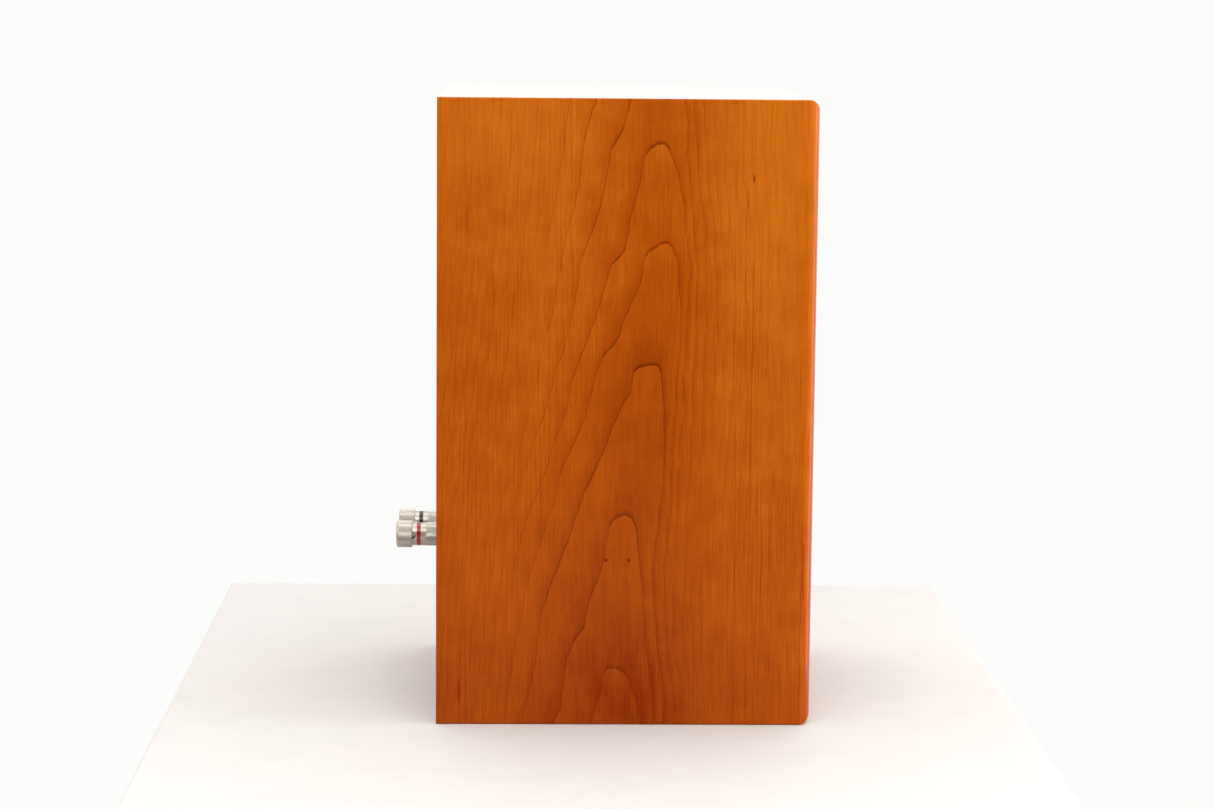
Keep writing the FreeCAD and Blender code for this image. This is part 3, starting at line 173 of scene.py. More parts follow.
# ---------------------------------------------------------------- node trees
class Nodes:
    """Short calls that add nodes to one tree and give back the socket that matters."""

    def __init__(self, tree):
        self.tree = tree

    def plug(self, socket, value):
        if isinstance(value, bpy.types.NodeSocket):
            self.tree.links.new(value, socket)
        elif value is not None:
            socket.default_value = value

    def add(self, kind, sockets=None, **settings):
        node = self.tree.nodes.new(kind)
        for name, value in settings.items():
            setattr(node, name, value)
        for name, value in (sockets or {}).items():
            self.plug(node.inputs[name], value)
        return node

    def place(self):
        """The point on the surface, in the cabinet's own millimetres."""
        coordinates = self.add("ShaderNodeTexCoord")
        return self.scaled(coordinates.outputs["Object"], (1000, 1000, 1000))

    def scaled(self, vector, factors):
        return self.add("ShaderNodeVectorMath", {0: vector, 1: factors}, operation="MULTIPLY").outputs[0]

    def moved(self, vector, step):
        return self.add("ShaderNodeVectorMath", {0: vector, 1: step}, operation="ADD").outputs[0]

    def split(self, vector):
        return tuple(self.add("ShaderNodeSeparateXYZ", {0: vector}).outputs)

    def join(self, x, y, z=0.0):
        return self.add("ShaderNodeCombineXYZ", {0: x, 1: y, 2: z}).outputs[0]

    def math(self, operation, *values):
        node = self.add("ShaderNodeMath", operation=operation)
        for socket, value in zip(node.inputs, values):
            self.plug(socket, value)
        return node.outputs[0]

    def times(self, first, second):
        return self.math("MULTIPLY", first, second)

    def total(self, *values):
        result = values[0]
        for value in values[1:]:
            result = self.math("ADD", result, value)
        return result

    def between(self, value, low, high, to_low=0.0, to_high=1.0, smooth=False):
        node = self.add("ShaderNodeMapRange", interpolation_type="SMOOTHSTEP" if smooth else "LINEAR")
        for socket, setting in zip(node.inputs, (value, low, high, to_low, to_high)):
            self.plug(socket, setting)
        return node.outputs[0]

    def noise(self, vector, scale=1.0, detail=2.0, roughness=0.5):
        sockets = {"Vector": vector, "Scale": scale, "Detail": detail, "Roughness": roughness}
        return self.add("ShaderNodeTexNoise", sockets).outputs[0]

    def chance(self, number):
        """A value from 0 to 1 that is the same each time for the same whole number."""
        return self.add("ShaderNodeTexWhiteNoise", {1: number}, noise_dimensions="1D").outputs[0]

    def swing(self, vector, reach, scale=1.0, detail=2.0):
        """Noise about nought, as far as reach either way."""
        return self.between(self.noise(vector, scale, detail), 0.25, 0.75, -reach, reach)

    def cells(self, vector, scale=1.0, feature="F1", output="Distance"):
        node = self.add("ShaderNodeTexVoronoi", {"Vector": vector, "Scale": scale}, feature=feature)
        return node.outputs[output]

    def mix(self, factor, first, second, blend="MIX"):
        node = self.add("ShaderNodeMix", data_type="RGBA", blend_type=blend)
        for index, value in ((0, factor), (6, first), (7, second)):
            self.plug(node.inputs[index], value)
        return node.outputs[2]

    def ramp(self, factor, stops):
        node = self.add("ShaderNodeValToRGB", {0: factor})
        elements = node.color_ramp.elements
        while len(elements) < len(stops):
            elements.new(1.0)
        for element, (position, colour) in zip(elements, stops):
            element.position = position
            element.color = colour
        return node.outputs[0]

    def curve(self, value, points, reach, height):
        """A line through points, whose values run from 0 to reach across and 0 to height up."""
        node = self.add("ShaderNodeFloatCurve", {1: self.math("DIVIDE", value, reach)})
        line = node.mapping.curves[0]
        while len(line.points) < len(points):
            line.points.new(0.5, 0.5)
        for point, (across, up) in zip(line.points, points):
            point.location = (across / reach, up / height)
            point.handle_type = "VECTOR"
        node.mapping.update()
        return self.times(node.outputs[0], height)

    def bump(self, height, depth, normal=None):
        sockets = {"Height": height, "Distance": depth, "Strength": 1.0, "Normal": normal}
        return self.add("ShaderNodeBump", sockets).outputs[0]


def node_group(name, inputs, outputs):
    """An empty shader group: its tree, the calls that fill it, its input sockets and its result sockets."""
    tree = bpy.data.node_groups.new(name, "ShaderNodeTree")
    kinds = {"colour": "NodeSocketColor", "value": "NodeSocketFloat", "vector": "NodeSocketVector"}
    for label, kind, default in inputs:
        socket = tree.interface.new_socket(name=label, in_out="INPUT", socket_type=kinds[kind])
        socket.default_value = default
    for label, kind in outputs:
        tree.interface.new_socket(name=label, in_out="OUTPUT", socket_type=kinds[kind])
    start, end = tree.nodes.new("NodeGroupInput"), tree.nodes.new("NodeGroupOutput")
    return tree, Nodes(tree), start.outputs, end.inputs


SURFACE_OUTPUTS = [("Color", "colour"), ("Roughness", "value"), ("Height", "value")]


def cherry_group():
    """Flat-cut cherry wrapped round the cabinet: one column of arches with straight grain each side."""
    tree, n, given, result = node_group(
        "Cherry Figure",
        [("Light", "colour", linear(214, 122, 42)), ("Middle", "colour", linear(192, 97, 28)),
         ("Dark", "colour", linear(160, 64, 8)), ("Line", "colour", linear(112, 38, 4)),
         ("Gloss Roughness", "value", 0.34)],
        SURFACE_OUTPUTS)
    half_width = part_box("left_side_panel")[1].x * 1000
    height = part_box("top_panel")[1].z * 1000
    place = n.place()
    x, y, z = n.split(place)

    # The veneer's own lie: along the grain, and across it from face to face.
    turn_start, turn_end = 0.7, 0.1
    on_top = n.between(z, height - turn_start, height - turn_end)
    on_bottom = n.between(z, turn_start, turn_end)
    from_side = n.math("ADD", x, half_width)
    along = n.total(z, n.times(from_side, on_top), n.times(n.times(from_side, on_bottom), -1.0))
    upright = n.math("SUBTRACT", 1.0, n.math("ADD", on_top, on_bottom))
    across = n.math("SUBTRACT", y, n.times(from_side, upright))
    across = n.math("WRAP", across, half_width, -half_width)
    leaf = n.join(across, along, n.times(x, 0.5))

    # The column of arches leans a little, and wanders.
    axis = n.between(along, 35, 263, 4.8, -15.7, smooth=True)
    offset = n.total(
        n.math("SUBTRACT", across, axis),
        n.swing(n.scaled(leaf, (1 / 34, 1 / 70, 1 / 60)), 2.2),
        n.swing(n.scaled(leaf, (1 / 14, 1 / 20, 1 / 60)), 0.8),
        n.swing(n.scaled(leaf, (1 / 5, 1 / 7, 1 / 60)), 0.28))
    distance = n.math("ABSOLUTE", offset)
    rearward = [(0, 0), (4.5, 1.5), (7, 5), (8.4, 17), (11.5, 29), (15, 41), (18, 55), (24, 67), (27, 83),
                (30, 99), (35, 115), (39, 128), (42, 149), (58, 235), (80, 470), (120, 1000)]
    forward = [(0, 0), (4, 1.5), (6.5, 5), (8.4, 12), (11, 22), (14, 38), (15.5, 56), (16.6, 75),
               (18.2, 92), (19, 110), (21, 129), (22.5, 149), (34, 290), (60, 640), (90, 1090), (120, 1450)]
    reach, drop = rearward[-1][0], 1500
    falls_back = n.curve(distance, rearward, reach, drop)
    falls_front = n.curve(distance, forward, reach, drop)
    is_back = n.between(offset, -0.6, 0.6)
    fall = n.math("ADD", n.times(falls_back, is_back), n.times(falls_front, n.math("SUBTRACT", 1.0, is_back)))
    crown = n.total(along, fall, n.swing(n.scaled(leaf, (1 / 40, 1 / 150, 1 / 90)), 7.0),
                    n.times(from_side, 0.12))
    ring_ends = [(0, 0.6), (235, 4), (311, 5), (395, 6), (463, 7), (516, 8), (2116, 33), (2200, 34.3)]
    below_base, most_rings = 200.0, 40
    rings = n.curve(n.math("ADD", crown, below_base), ring_ends, ring_ends[-1][0], most_rings)
    ring = n.math("FLOOR", rings)
    part = n.math("SUBTRACT", rings, ring)
    strength = n.between(n.chance(ring), 0, 1, 0.55, 1.0)
    fade = n.math("POWER", n.math("SUBTRACT", 1.0, part), 3.0)
    late = n.times(fade, strength)
    core = n.math("ADD", n.between(offset, 16, 64, 1.0, 0.28, smooth=True),
                  n.between(offset, -44, -14, -0.72, 0.0, smooth=True))
    late = n.times(late, core)
    line = n.times(n.between(part, 0.0, 0.04, 1.0, 0.0),
                   n.times(strength, n.between(core, 0.2, 1.0, 0.7, 1.0)))
    minor = n.math("FRACT", n.times(rings, 5.0))
    minor = n.times(n.between(minor, 0.0, 0.22, 1.0, 0.0),
                    n.between(distance, 14, 40, 0.1, 0.42, smooth=True))

    # Straight grain each side of the arches: fine, uneven, nearly upright lines.
    threads_per_mm = 0.42
    grain = n.total(n.times(across, threads_per_mm), n.swing(n.scaled(leaf, (1 / 11, 1 / 400, 1 / 60)), 1.3),
                    n.swing(n.scaled(leaf, (1 / 9, 1 / 60, 1 / 60)), 0.16))
    thread = n.math("FLOOR", grain)
    thread_strength = n.between(n.chance(thread), 0, 1, 0.25, 1.0)
    beside_arches = n.between(distance, 24, 52, 0.0, 1.0, smooth=True)
    broken = n.between(n.noise(n.scaled(leaf, (1 / 6, 1 / 55, 1 / 60)), detail=1), 0.35, 0.6, 0.35, 1.0)
    thread_line = n.times(n.between(n.math("SUBTRACT", grain, thread), 0.02, 0.20, 1.0, 0.0),
                          n.times(thread_strength, beside_arches))
    thread_line = n.times(thread_line, broken)

    # Mottling, fibres and pores, with painted shade that darkens the boards towards the bottom, and a tone a
    # little darker towards the rear.
    mottle = n.swing(n.scaled(leaf, (1 / 13, 1 / 15, 1 / 40)), 0.085, detail=3)
    cloud = n.swing(n.scaled(leaf, (1 / 60, 1 / 90, 1 / 90)), 0.10)
    fibre = n.swing(n.scaled(leaf, (1 / 0.6, 1 / 22, 1 / 30)), 0.13, detail=4)
    fleck = n.between(n.noise(n.scaled(leaf, (1 / 0.45, 1 / 3.2, 1 / 20)), detail=1), 0.62, 0.75)
    # Painted shade: the boards grow darker towards the bottom.
    painted_shade_low = n.between(along, 330, 20, 0.0, 0.50)
    heart = n.between(distance, 4, 66, 0.25, 0.0, smooth=True)
    towards_rear = n.between(across, -half_width, half_width, -0.07, 0.03)
    tone = n.total(0.07, heart, towards_rear, n.times(late, 0.25), mottle, cloud, fibre, painted_shade_low,
                   n.times(minor, 0.2), n.times(fleck, 0.14), n.times(thread_line, 0.40))
    colour = n.ramp(tone, [(0.0, (0, 0, 0, 1)), (1.0, (1, 1, 1, 1))])
    warm = n.mix(n.between(colour, 0.0, 0.45), given["Light"], given["Middle"])
    colour = n.mix(n.between(colour, 0.45, 1.0), warm, given["Dark"])
    colour = n.mix(n.times(line, 0.82), colour, given["Line"])

    # Two pin knots, a gum fleck and a mineral streak on the right side board only.
    on_right = n.between(x, 5 - half_width, 2 - half_width)
    for knot_across, knot_along, wide, long, depth in (
            (10.2, 91, 0.75, 0.95, 0.95), (-2.2, 91, 0.7, 0.9, 0.95),
            (-67, 298, 0.55, 2.0, 0.7), (89.6, 18.5, 0.7, 7.0, 0.6)):
        step = n.moved(n.join(across, along), (-knot_across, -knot_along, 0))
        away = n.add("ShaderNodeVectorMath", {0: n.scaled(step, (1 / wide, 1 / long, 0))},
                     operation="LENGTH").outputs[1]
        spot = n.times(n.between(away, 0.5, 1.6, depth, 0.0, smooth=True), on_right)
        colour = n.mix(spot, colour, given["Line"])

    # Bare fibreboard wherever the veneer doesn't reach.
    inner_x, inner_y, inner_z, fade_over = half_width - 2.2, 100.6, height / 2 - 1.0, 0.4
    inside = n.times(n.between(n.math("ABSOLUTE", x), inner_x, inner_x - fade_over),
                     n.between(n.math("ABSOLUTE", y), inner_y, inner_y - fade_over))
    from_middle = n.math("ABSOLUTE", n.math("SUBTRACT", z, height / 2))
    inside = n.times(inside, n.between(from_middle, inner_z, inner_z - fade_over))
    board = n.mix(n.noise(place, 0.9, 4, 0.7), linear(104, 84, 62), linear(142, 118, 88))
    n.plug(result["Color"], n.mix(inside, colour, board))
    n.plug(result["Roughness"], n.total(
        given["Gloss Roughness"], n.times(inside, 0.45), n.times(fleck, 0.10),
        n.swing(n.scaled(leaf, (1 / 30, 1 / 40, 1 / 40)), 0.03)))
    n.plug(result["Height"], n.total(
        n.times(fibre, 0.8), n.times(fleck, -0.4), n.times(line, -0.25)))
    return tree


def skin_group():
    """Moulded or painted skin: fine pebble, flow marks, a little dust and rubbed patches."""
    tree, n, given, result = node_group(
        "Moulded Skin",
        [("Skin", "colour", linear(30, 30, 31)), ("Dust", "colour", linear(120, 114, 106)),
         ("Pebble Size", "value", 0.4), ("Dust Amount", "value", 0.08), ("Flow Amount", "value", 0.35),
         ("Shine Roughness", "value", 0.45)],
        SURFACE_OUTPUTS)
    place = n.place()
    pebble = n.cells(n.add("ShaderNodeVectorMath", {0: place, 3: n.math("DIVIDE", 1.0, given["Pebble Size"])},
                           operation="SCALE").outputs[0])
    flow = n.noise(n.scaled(place, (1 / 30, 1 / 30, 1 / 55)), detail=3)
    settled = n.times(n.between(n.noise(place, 0.11, 5, 0.65), 0.42, 0.72), given["Dust Amount"])
    tinted = n.mix(n.between(flow, 0.3, 0.7, 0.0, given["Flow Amount"]), given["Skin"],
                   n.mix(1.0, given["Skin"], linear(205, 205, 210), blend="MULTIPLY"))
    n.plug(result["Color"], n.mix(settled, tinted, given["Dust"]))
    n.plug(result["Roughness"], n.total(
        given["Shine Roughness"], n.times(settled, 1.2), n.swing(n.scaled(place, (1 / 9,) * 3), 0.05)))
    n.plug(result["Height"], n.math("ADD", pebble, n.times(n.noise(place, 3.5, 2), 0.5)))
    return tree


def metal_group():
    """Machined or plated metal: tool lines along one direction, stains and fine scuffs."""
    tree, n, given, result = node_group(
        "Worked Metal",
        [("Metal", "colour", linear(200, 195, 185)), ("Stain", "colour", linear(150, 138, 116)),
         ("Lines", "vector", (0.0, 9.0, 0.0)), ("Stain Amount", "value", 0.25),
         ("Shine Roughness", "value", 0.28)],
        SURFACE_OUTPUTS)
    place = n.place()
    tool = n.noise(n.scaled(place, given["Lines"]), 1.0, 2)
    scuff = n.noise(n.scaled(place, (1.7, 0.6, 1.9)), 1.0, 5, 0.7)
    cloud = n.between(n.noise(place, 0.16, 4, 0.6), 0.4, 0.7)
    n.plug(result["Color"], n.mix(n.times(cloud, given["Stain Amount"]), given["Metal"], given["Stain"]))
    n.plug(result["Roughness"], n.total(
        given["Shine Roughness"], n.between(tool, 0.2, 0.8, -0.05, 0.06),
        n.between(scuff, 0.5, 0.75, 0.0, 0.12)))
    n.plug(result["Height"], n.math("ADD", tool, n.times(scuff, 0.3)))
    return tree


def weave_group():
    """Plain weave on a face that looks to the front: threads over and under, with uneven yarn and painted
    shade where the threads dip.
    """
    tree, n, given, result = node_group(
        "Plain Weave",
        [("Thread", "colour", linear(150, 120, 70)), ("Gap Shade", "colour", linear(70, 50, 26)),
         ("Thread Size", "value", 0.5), ("Resin Roughness", "value", 0.6)],
        SURFACE_OUTPUTS)
    place = n.place()
    x, _, z = n.split(place)
    turn = n.math("DIVIDE", math.pi, given["Thread Size"])
    warp = n.math("SINE", n.times(x, turn))
    weft = n.math("SINE", n.times(z, turn))
    over = n.times(warp, weft)
    yarn = n.math("ADD", n.math("ABSOLUTE", warp), n.math("ABSOLUTE", weft))
    raised = n.math("ADD", n.times(over, 0.35), n.times(yarn, 0.4))
    uneven = n.swing(n.scaled(place, (0.5, 0.5, 0.5)), 0.15, detail=4)
    level = n.math("ADD", n.between(raised, 0.0, 0.8), uneven)
    # Painted shade: the gap colour darkens where the threads dip under one another, and the uneven yarn adds
    # tone at random.
    n.plug(result["Color"], n.mix(level, given["Gap Shade"], given["Thread"]))
    n.plug(result["Roughness"], n.math("ADD", given["Resin Roughness"], n.times(uneven, 0.4)))
    n.plug(result["Height"], level)
    return tree


def wound_group():
    """Enamelled wire or foil laid turn beside turn along one direction, with painted shade in the grooves
    between turns.
    """
    tree, n, given, result = node_group(
        "Wound Turns",
        [("Turn", "colour", linear(176, 88, 42)), ("Groove Shade", "colour", linear(70, 26, 10)),
         ("Pitch Direction", "vector", (0.0, 1.0, 0.0)), ("Shine Roughness", "value", 0.3)],
        SURFACE_OUTPUTS)
    place = n.place()
    run = n.add("ShaderNodeVectorMath", {0: place, 1: given["Pitch Direction"]},
                operation="DOT_PRODUCT").outputs[1]
    run = n.math("ADD", run, n.swing(n.scaled(place, (0.3, 0.3, 0.3)), 0.18))
    ridge = n.math("ABSOLUTE", n.math("SINE", n.times(run, math.pi)))
    patch = n.swing(n.scaled(place, (0.2, 0.2, 0.2)), 0.2, detail=3)
    # Painted shade: the between colour darkens the grooves between turns, and the patch noise adds tone at
    # random.
    n.plug(result["Color"], n.mix(n.math("ADD", ridge, patch), given["Groove Shade"], given["Turn"]))
    n.plug(result["Roughness"], n.math("SUBTRACT", n.math("ADD", given["Shine Roughness"], 0.25),
                                       n.times(ridge, 0.25)))
    n.plug(result["Height"], ridge)
    return tree


def fibre_group():
    """Pressed or felted fibres: board, paper pulp or wadding."""
    tree, n, given, result = node_group(
        "Felted Fibres",
        [("Fibre", "colour", linear(150, 126, 92)), ("Shadow", "colour", linear(104, 82, 56)),
         ("Fibre Size", "value", 1.0), ("Dry Roughness", "value", 0.85)],
        SURFACE_OUTPUTS)
    place = n.place()
    size = n.add("ShaderNodeVectorMath", {0: place, 3: n.math("DIVIDE", 1.0, given["Fibre Size"])},
                 operation="SCALE").outputs[0]
    drift = n.add("ShaderNodeTexNoise", {"Vector": size, "Scale": 0.6}).outputs[1]
    bend = n.add("ShaderNodeVectorMath", {0: drift, 3: 2.4}, operation="SCALE").outputs[0]
    curled = n.moved(size, bend)
    strands = n.noise(n.scaled(curled, (3.2, 0.7, 3.2)), 1.0, 3, 0.6)
    crossing = n.noise(n.scaled(curled, (0.7, 3.2, 0.8)), 1.0, 3, 0.6)
    level = n.math("MAXIMUM", strands, crossing)
    patch = n.swing(n.scaled(place, (0.06, 0.06, 0.06)), 0.15)
    shade = n.math("ADD", n.between(level, 0.4, 0.75), patch)
    n.plug(result["Color"], n.mix(shade, given["Shadow"], given["Fibre"]))
    n.plug(result["Roughness"], n.math("ADD", given["Dry Roughness"], n.times(patch, 0.3)))
    n.plug(result["Height"], level)
    return tree


GROUP_MAKERS = {
    "Cherry Figure": cherry_group, "Moulded Skin": skin_group, "Worked Metal": metal_group,
    "Plain Weave": weave_group, "Wound Turns": wound_group, "Felted Fibres": fibre_group,
}


def material(name, group, values, depth, slant_gloss=0.0, **shader):
    """A material whose colour, roughness and relief come from one shared group. slant_gloss is a clear coat
    that shows only where the surface is seen at a slant. Further values are the shader's own constants."""
    made = bpy.data.materials.get(name)
    if made:
        return made
    made = bpy.data.materials.new(name)
    made.use_nodes = True
    n = Nodes(made.node_tree)
    principled = made.node_tree.nodes["Principled BSDF"]
    tree = bpy.data.node_groups.get(group) or GROUP_MAKERS[group]()
    pattern = n.add("ShaderNodeGroup", node_tree=tree)
    for label, value in values.items():
        n.plug(pattern.inputs[label], value)
    n.plug(principled.inputs["Base Color"], pattern.outputs["Color"])
    n.plug(principled.inputs["Roughness"], pattern.outputs["Roughness"])
    n.plug(principled.inputs["Normal"], n.bump(pattern.outputs["Height"], depth))
    if slant_gloss:
        facing = n.add("ShaderNodeLayerWeight", {"Blend": 0.5}).outputs["Facing"]
        n.plug(principled.inputs["Coat Weight"], n.between(facing, 0.18, 0.60, 0.0, slant_gloss, smooth=True))
    for label, value in shader.items():
        n.plug(principled.inputs[label.replace("_", " ").title().replace("Ior", "IOR")], value)
    return made


def plastic(name, colour, roughness=0.45, pebble=0.4, dust=0.06, depth=0.03 * MM, flow=0.35, **shader):
    return material(name, "Moulded Skin", {
        "Skin": colour, "Pebble Size": pebble, "Dust Amount": dust, "Flow Amount": flow,
        "Shine Roughness": roughness}, depth, **shader)


def metal(name, colour, stain, roughness, lines=(0.0, 9.0, 0.0), amount=0.25, depth=0.004 * MM):
    return material(name, "Worked Metal", {
        "Metal": colour, "Stain": stain, "Lines": lines, "Stain Amount": amount,
        "Shine Roughness": roughness}, depth, metallic=1.0)


def weave(name, thread, gap_shade, size, roughness=0.6, depth=0.08 * MM, **shader):
    return material(name, "Plain Weave", {
        "Thread": thread, "Gap Shade": gap_shade, "Thread Size": size, "Resin Roughness": roughness}, depth, **shader)


# The between colour is the painted shade of the grooves between turns.
def wound(name, turn, between, direction, roughness=0.3, depth=0.1 * MM, **shader):
    return material(name, "Wound Turns", {
        "Turn": turn, "Groove Shade": between, "Pitch Direction": direction,
        "Shine Roughness": roughness}, depth, **shader)


def felted(name, fibre, shadow, size, roughness=0.85, depth=0.06 * MM, **shader):
    return material(name, "Felted Fibres", {
        "Fibre": fibre, "Shadow": shadow, "Fibre Size": size, "Dry Roughness": roughness}, depth, **shader)


def finish_for(slot):
    """The material of one of the record's slots."""
    style = bpy.context.scene.loudspeaker_finish
    black = (*style.black_plastic, 1)
    if slot in ("veneer", "baffle_board"):
        return material("Cherry Veneer", "Cherry Figure", {
            "Light": (*style.cherry_light, 1), "Middle": (*style.cherry_middle, 1),
            "Dark": (*style.cherry_dark, 1), "Line": (*style.cherry_line, 1),
            "Gloss Roughness": style.lacquer_roughness}, 0.03 * MM,
            slant_gloss=1.0, coat_roughness=0.16, specular_ior_level=0.06)
    # In the Plain Weave and Wound Turns finishes the second colour is painted shade, for the gaps between
    # threads and the grooves between turns.
    makers = {
        "brace_board": lambda: felted("Bare Fibreboard", linear(150, 124, 92), linear(112, 88, 60), 0.7),
        "black_cast": lambda: plastic("Cast Alloy Black", linear(28, 28, 30), 0.42, 0.25, 0.05, 0.02 * MM,
                                       specular_ior_level=0.25),
        "rubber_roll": lambda: plastic("Butyl Rubber", linear(24, 24, 25), 0.5, 0.18, 0.10, 0.012 * MM,
                                       sheen_weight=0.08, sheen_roughness=0.4),
        "cone": lambda: felted("Pulp Cone", linear(46, 45, 46), linear(22, 21, 22), 0.55, 0.62, 0.05 * MM),
        "dust_cap": lambda: felted("Pulp Dust Cap", linear(40, 39, 40), linear(18, 18, 19), 0.45, 0.5,
                                   0.03 * MM),
        "former": lambda: wound("Former Film", linear(196, 142, 50), linear(150, 96, 26), (0, 0.5, 0), 0.25),
        "copper": lambda: wound("Enamelled Copper", linear(190, 96, 46), linear(74, 28, 10), (0, 2.4, 0),
                                metallic=1.0),
        "spider": lambda: weave("Spider Cloth", linear(176, 134, 60), linear(92, 62, 22), 0.45),
        "steel": lambda: metal("Zinc Plated Steel", linear(196, 198, 200), linear(140, 138, 126), 0.32,
                               (1.1, 0.5, 1.3)),
        "magnet": lambda: plastic("Ferrite", linear(46, 46, 50), 0.6, 0.8, 0.12, 0.05 * MM),
        "tag_board": lambda: felted("Phenolic Board", linear(120, 72, 34), linear(84, 46, 20), 0.5, 0.5),
        "tinned": lambda: metal("Tinned Brass", linear(216, 214, 204), linear(168, 160, 130), 0.3,
                                (2.0, 2.0, 2.0)),
        "black_screw": lambda: plastic("Black Oxide Screw", linear(26, 26, 28), 0.36, 0.3, 0.05, 0.01 * MM,
                                       metallic=0.6),
        "gasket": lambda: felted("Foam Gasket", linear(40, 40, 42), linear(14, 14, 15), 0.35, 0.9, 0.08 * MM),
        "faceplate": lambda: plastic("Faceplate Moulding", black, 0.4, 0.28, 0.05, 0.02 * MM,
                                     specular_ior_level=0.25),
        "dome": lambda: weave("Coated Silk Dome", linear(52, 50, 54), linear(20, 19, 21), 0.16, 0.42,
                              0.02 * MM, coat_weight=0.2, coat_roughness=0.35),
        "chamber": lambda: plastic("Chamber Moulding", linear(38, 38, 40), 0.5, 0.5),
        "port": lambda: plastic("Port Moulding", black, 0.48, 0.45, 0.06, 0.04 * MM),
        "terminal_plate": lambda: plastic("Terminal Plate Moulding", black, 0.5, 0.55, 0.08, 0.05 * MM),
        "post_metal": lambda: metal("Satin Nickel", (*style.post_metal, 1), linear(176, 168, 157), 0.4,
                                    (0.3, 4.0, 0.3), 0.15, 0.0004 * MM),
        "red_ring": lambda: plastic("Red Ring", (*style.positive_ring, 1), 0.3, 0.2, 0.0, 0.002 * MM,
                                    flow=0.1, coat_weight=0.2),
        "black_ring": lambda: plastic("Black Ring", linear(20, 20, 21), 0.3, 0.2, 0.03, 0.006 * MM,
                                      coat_weight=0.2),
        "bushing": lambda: plastic("Nylon Bushing", linear(28, 28, 30), 0.42, 0.35, 0.04, 0.02 * MM),
        "board": lambda: felted("Glass Fibre Board", linear(44, 84, 52), linear(26, 56, 34), 0.6, 0.4),
        "white_plastic": lambda: plastic("White Nylon", linear(226, 224, 216), 0.42, 0.6, 0.05, 0.02 * MM,
                                         subsurface_weight=0.05),
        "capacitor": lambda: wound("Film Capacitor", linear(206, 178, 58), linear(176, 146, 40),
                                   (0.9, 0.9, 0.9), 0.3, 0.03 * MM),
        "resistor": lambda: felted("Cement Resistor", linear(218, 214, 204), linear(178, 172, 160), 0.6, 0.9),
        "wire_red": lambda: wound("Red Wire", linear(188, 30, 26), linear(140, 16, 14),
                                  (0.35, 0.35, 0.35), 0.35, 0.02 * MM),
        "wire_black": lambda: wound("Black Wire", linear(30, 30, 32), linear(14, 14, 15),
                                    (0.35, 0.35, 0.35), 0.35, 0.02 * MM),
        "wadding": lambda: felted("Polyester Wadding", linear(226, 224, 218), linear(170, 168, 162),
                                  2.6, 0.95, 0.6 * MM, sheen_weight=0.3),
        "socket": lambda: plastic("Socket Moulding", linear(24, 24, 25), 0.5, 0.35, 0.05, 0.03 * MM),
    }
    return makers[slot]()


def dress(*nodes):
    """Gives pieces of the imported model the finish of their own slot."""
    for name in nodes:
        mesh = frame["nodes"][name].data
        finish = finish_for(SLOT_OF[name])
        if not mesh.materials:
            mesh.materials.append(finish)
        for index in range(len(mesh.materials)):
            mesh.materials[index] = finish


# ---------------------------------------------------------------- pieces
def bow(start, end, rise, steps):
    """Points of a circular arc from start to end, both left out, that bulges to its left by rise."""
    a, b = Vector(start), Vector(end)
    chord = b - a
    radius = (chord.length ** 2 / 4 + rise ** 2) / (2 * abs(rise))
    left = Vector((-chord.y, chord.x)).normalized() * math.copysign(1, rise)
    centre = (a + b) / 2 - left * (radius - abs(rise))
    first, sweep = a - centre, 2 * math.asin(min(1.0, chord.length / 2 / radius))
    points = []
    for step in range(1, steps):
        turn = -math.copysign(sweep, rise) * step / steps
        cos, sin = math.cos(turn), math.sin(turn)
        points.append(tuple(centre + Vector((first.x * cos - first.y * sin, first.x * sin + first.y * cos))))
    return points


def as_object(work, name, slot, body=None, smooth=32):
    """Turns a finished bmesh into an object with its slot's finish, riding on a body."""
    mesh = bpy.data.meshes.new(name)
    work.to_mesh(mesh)
    work.free()
    mesh.materials.append(finish_for(slot))
    for face in mesh.polygons:
        face.use_smooth = True
    mesh.set_sharp_from_angle(angle=math.radians(smooth))
    piece = bpy.data.objects.new(name, mesh)
    bpy.context.scene.collection.objects.link(piece)
    if body:
        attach(piece, body)
    return piece


def rounded_box(low, high, rounding, segments):
    """A box between two corners, with its edges rounded over."""
    work = bmesh.new()
    bmesh.ops.create_cube(work, size=1.0)
    bmesh.ops.scale(work, vec=high - low, verts=work.verts)
    bmesh.ops.translate(work, vec=(low + high) / 2, verts=work.verts)
    bmesh.ops.bevel(work, geom=work.edges[:], offset=rounding, offset_type="OFFSET", segments=segments,
                    profile=0.5, affect="EDGES", material=-1)
    return work


def turned(profile, centre, steps, sweep=2 * math.pi, start_angle=0.0):
    """Spins a closed profile of (radius, depth) points in millimetres about the driver's axis."""
    work = bmesh.new()
    corners = [work.verts.new((radius * MM, depth * MM, 0)) for radius, depth in profile]
    edges = [work.edges.new((a, b)) for a, b in zip(corners, corners[1:] + corners[:1])]
    if start_angle:
        bmesh.ops.rotate(work, verts=corners, cent=(0, 0, 0), matrix=Matrix.Rotation(start_angle, 3, "Y"))
    whole = sweep > 2 * math.pi - 1e-6
    made = bmesh.ops.spin(work, geom=corners + edges, cent=(0, 0, 0), axis=(0, 1, 0), angle=sweep,
                          steps=steps, use_merge=whole, use_duplicate=False)
    if not whole:
        last = [item for item in made["geom_last"] if isinstance(item, bmesh.types.BMEdge)]
        for rim in (edges, last):
            bmesh.ops.edgeloop_fill(work, edges=rim)
    bmesh.ops.remove_doubles(work, verts=work.verts, dist=1e-6)
    bmesh.ops.recalc_face_normals(work, faces=work.faces)
    bmesh.ops.translate(work, verts=work.verts, vec=centre)
    return work


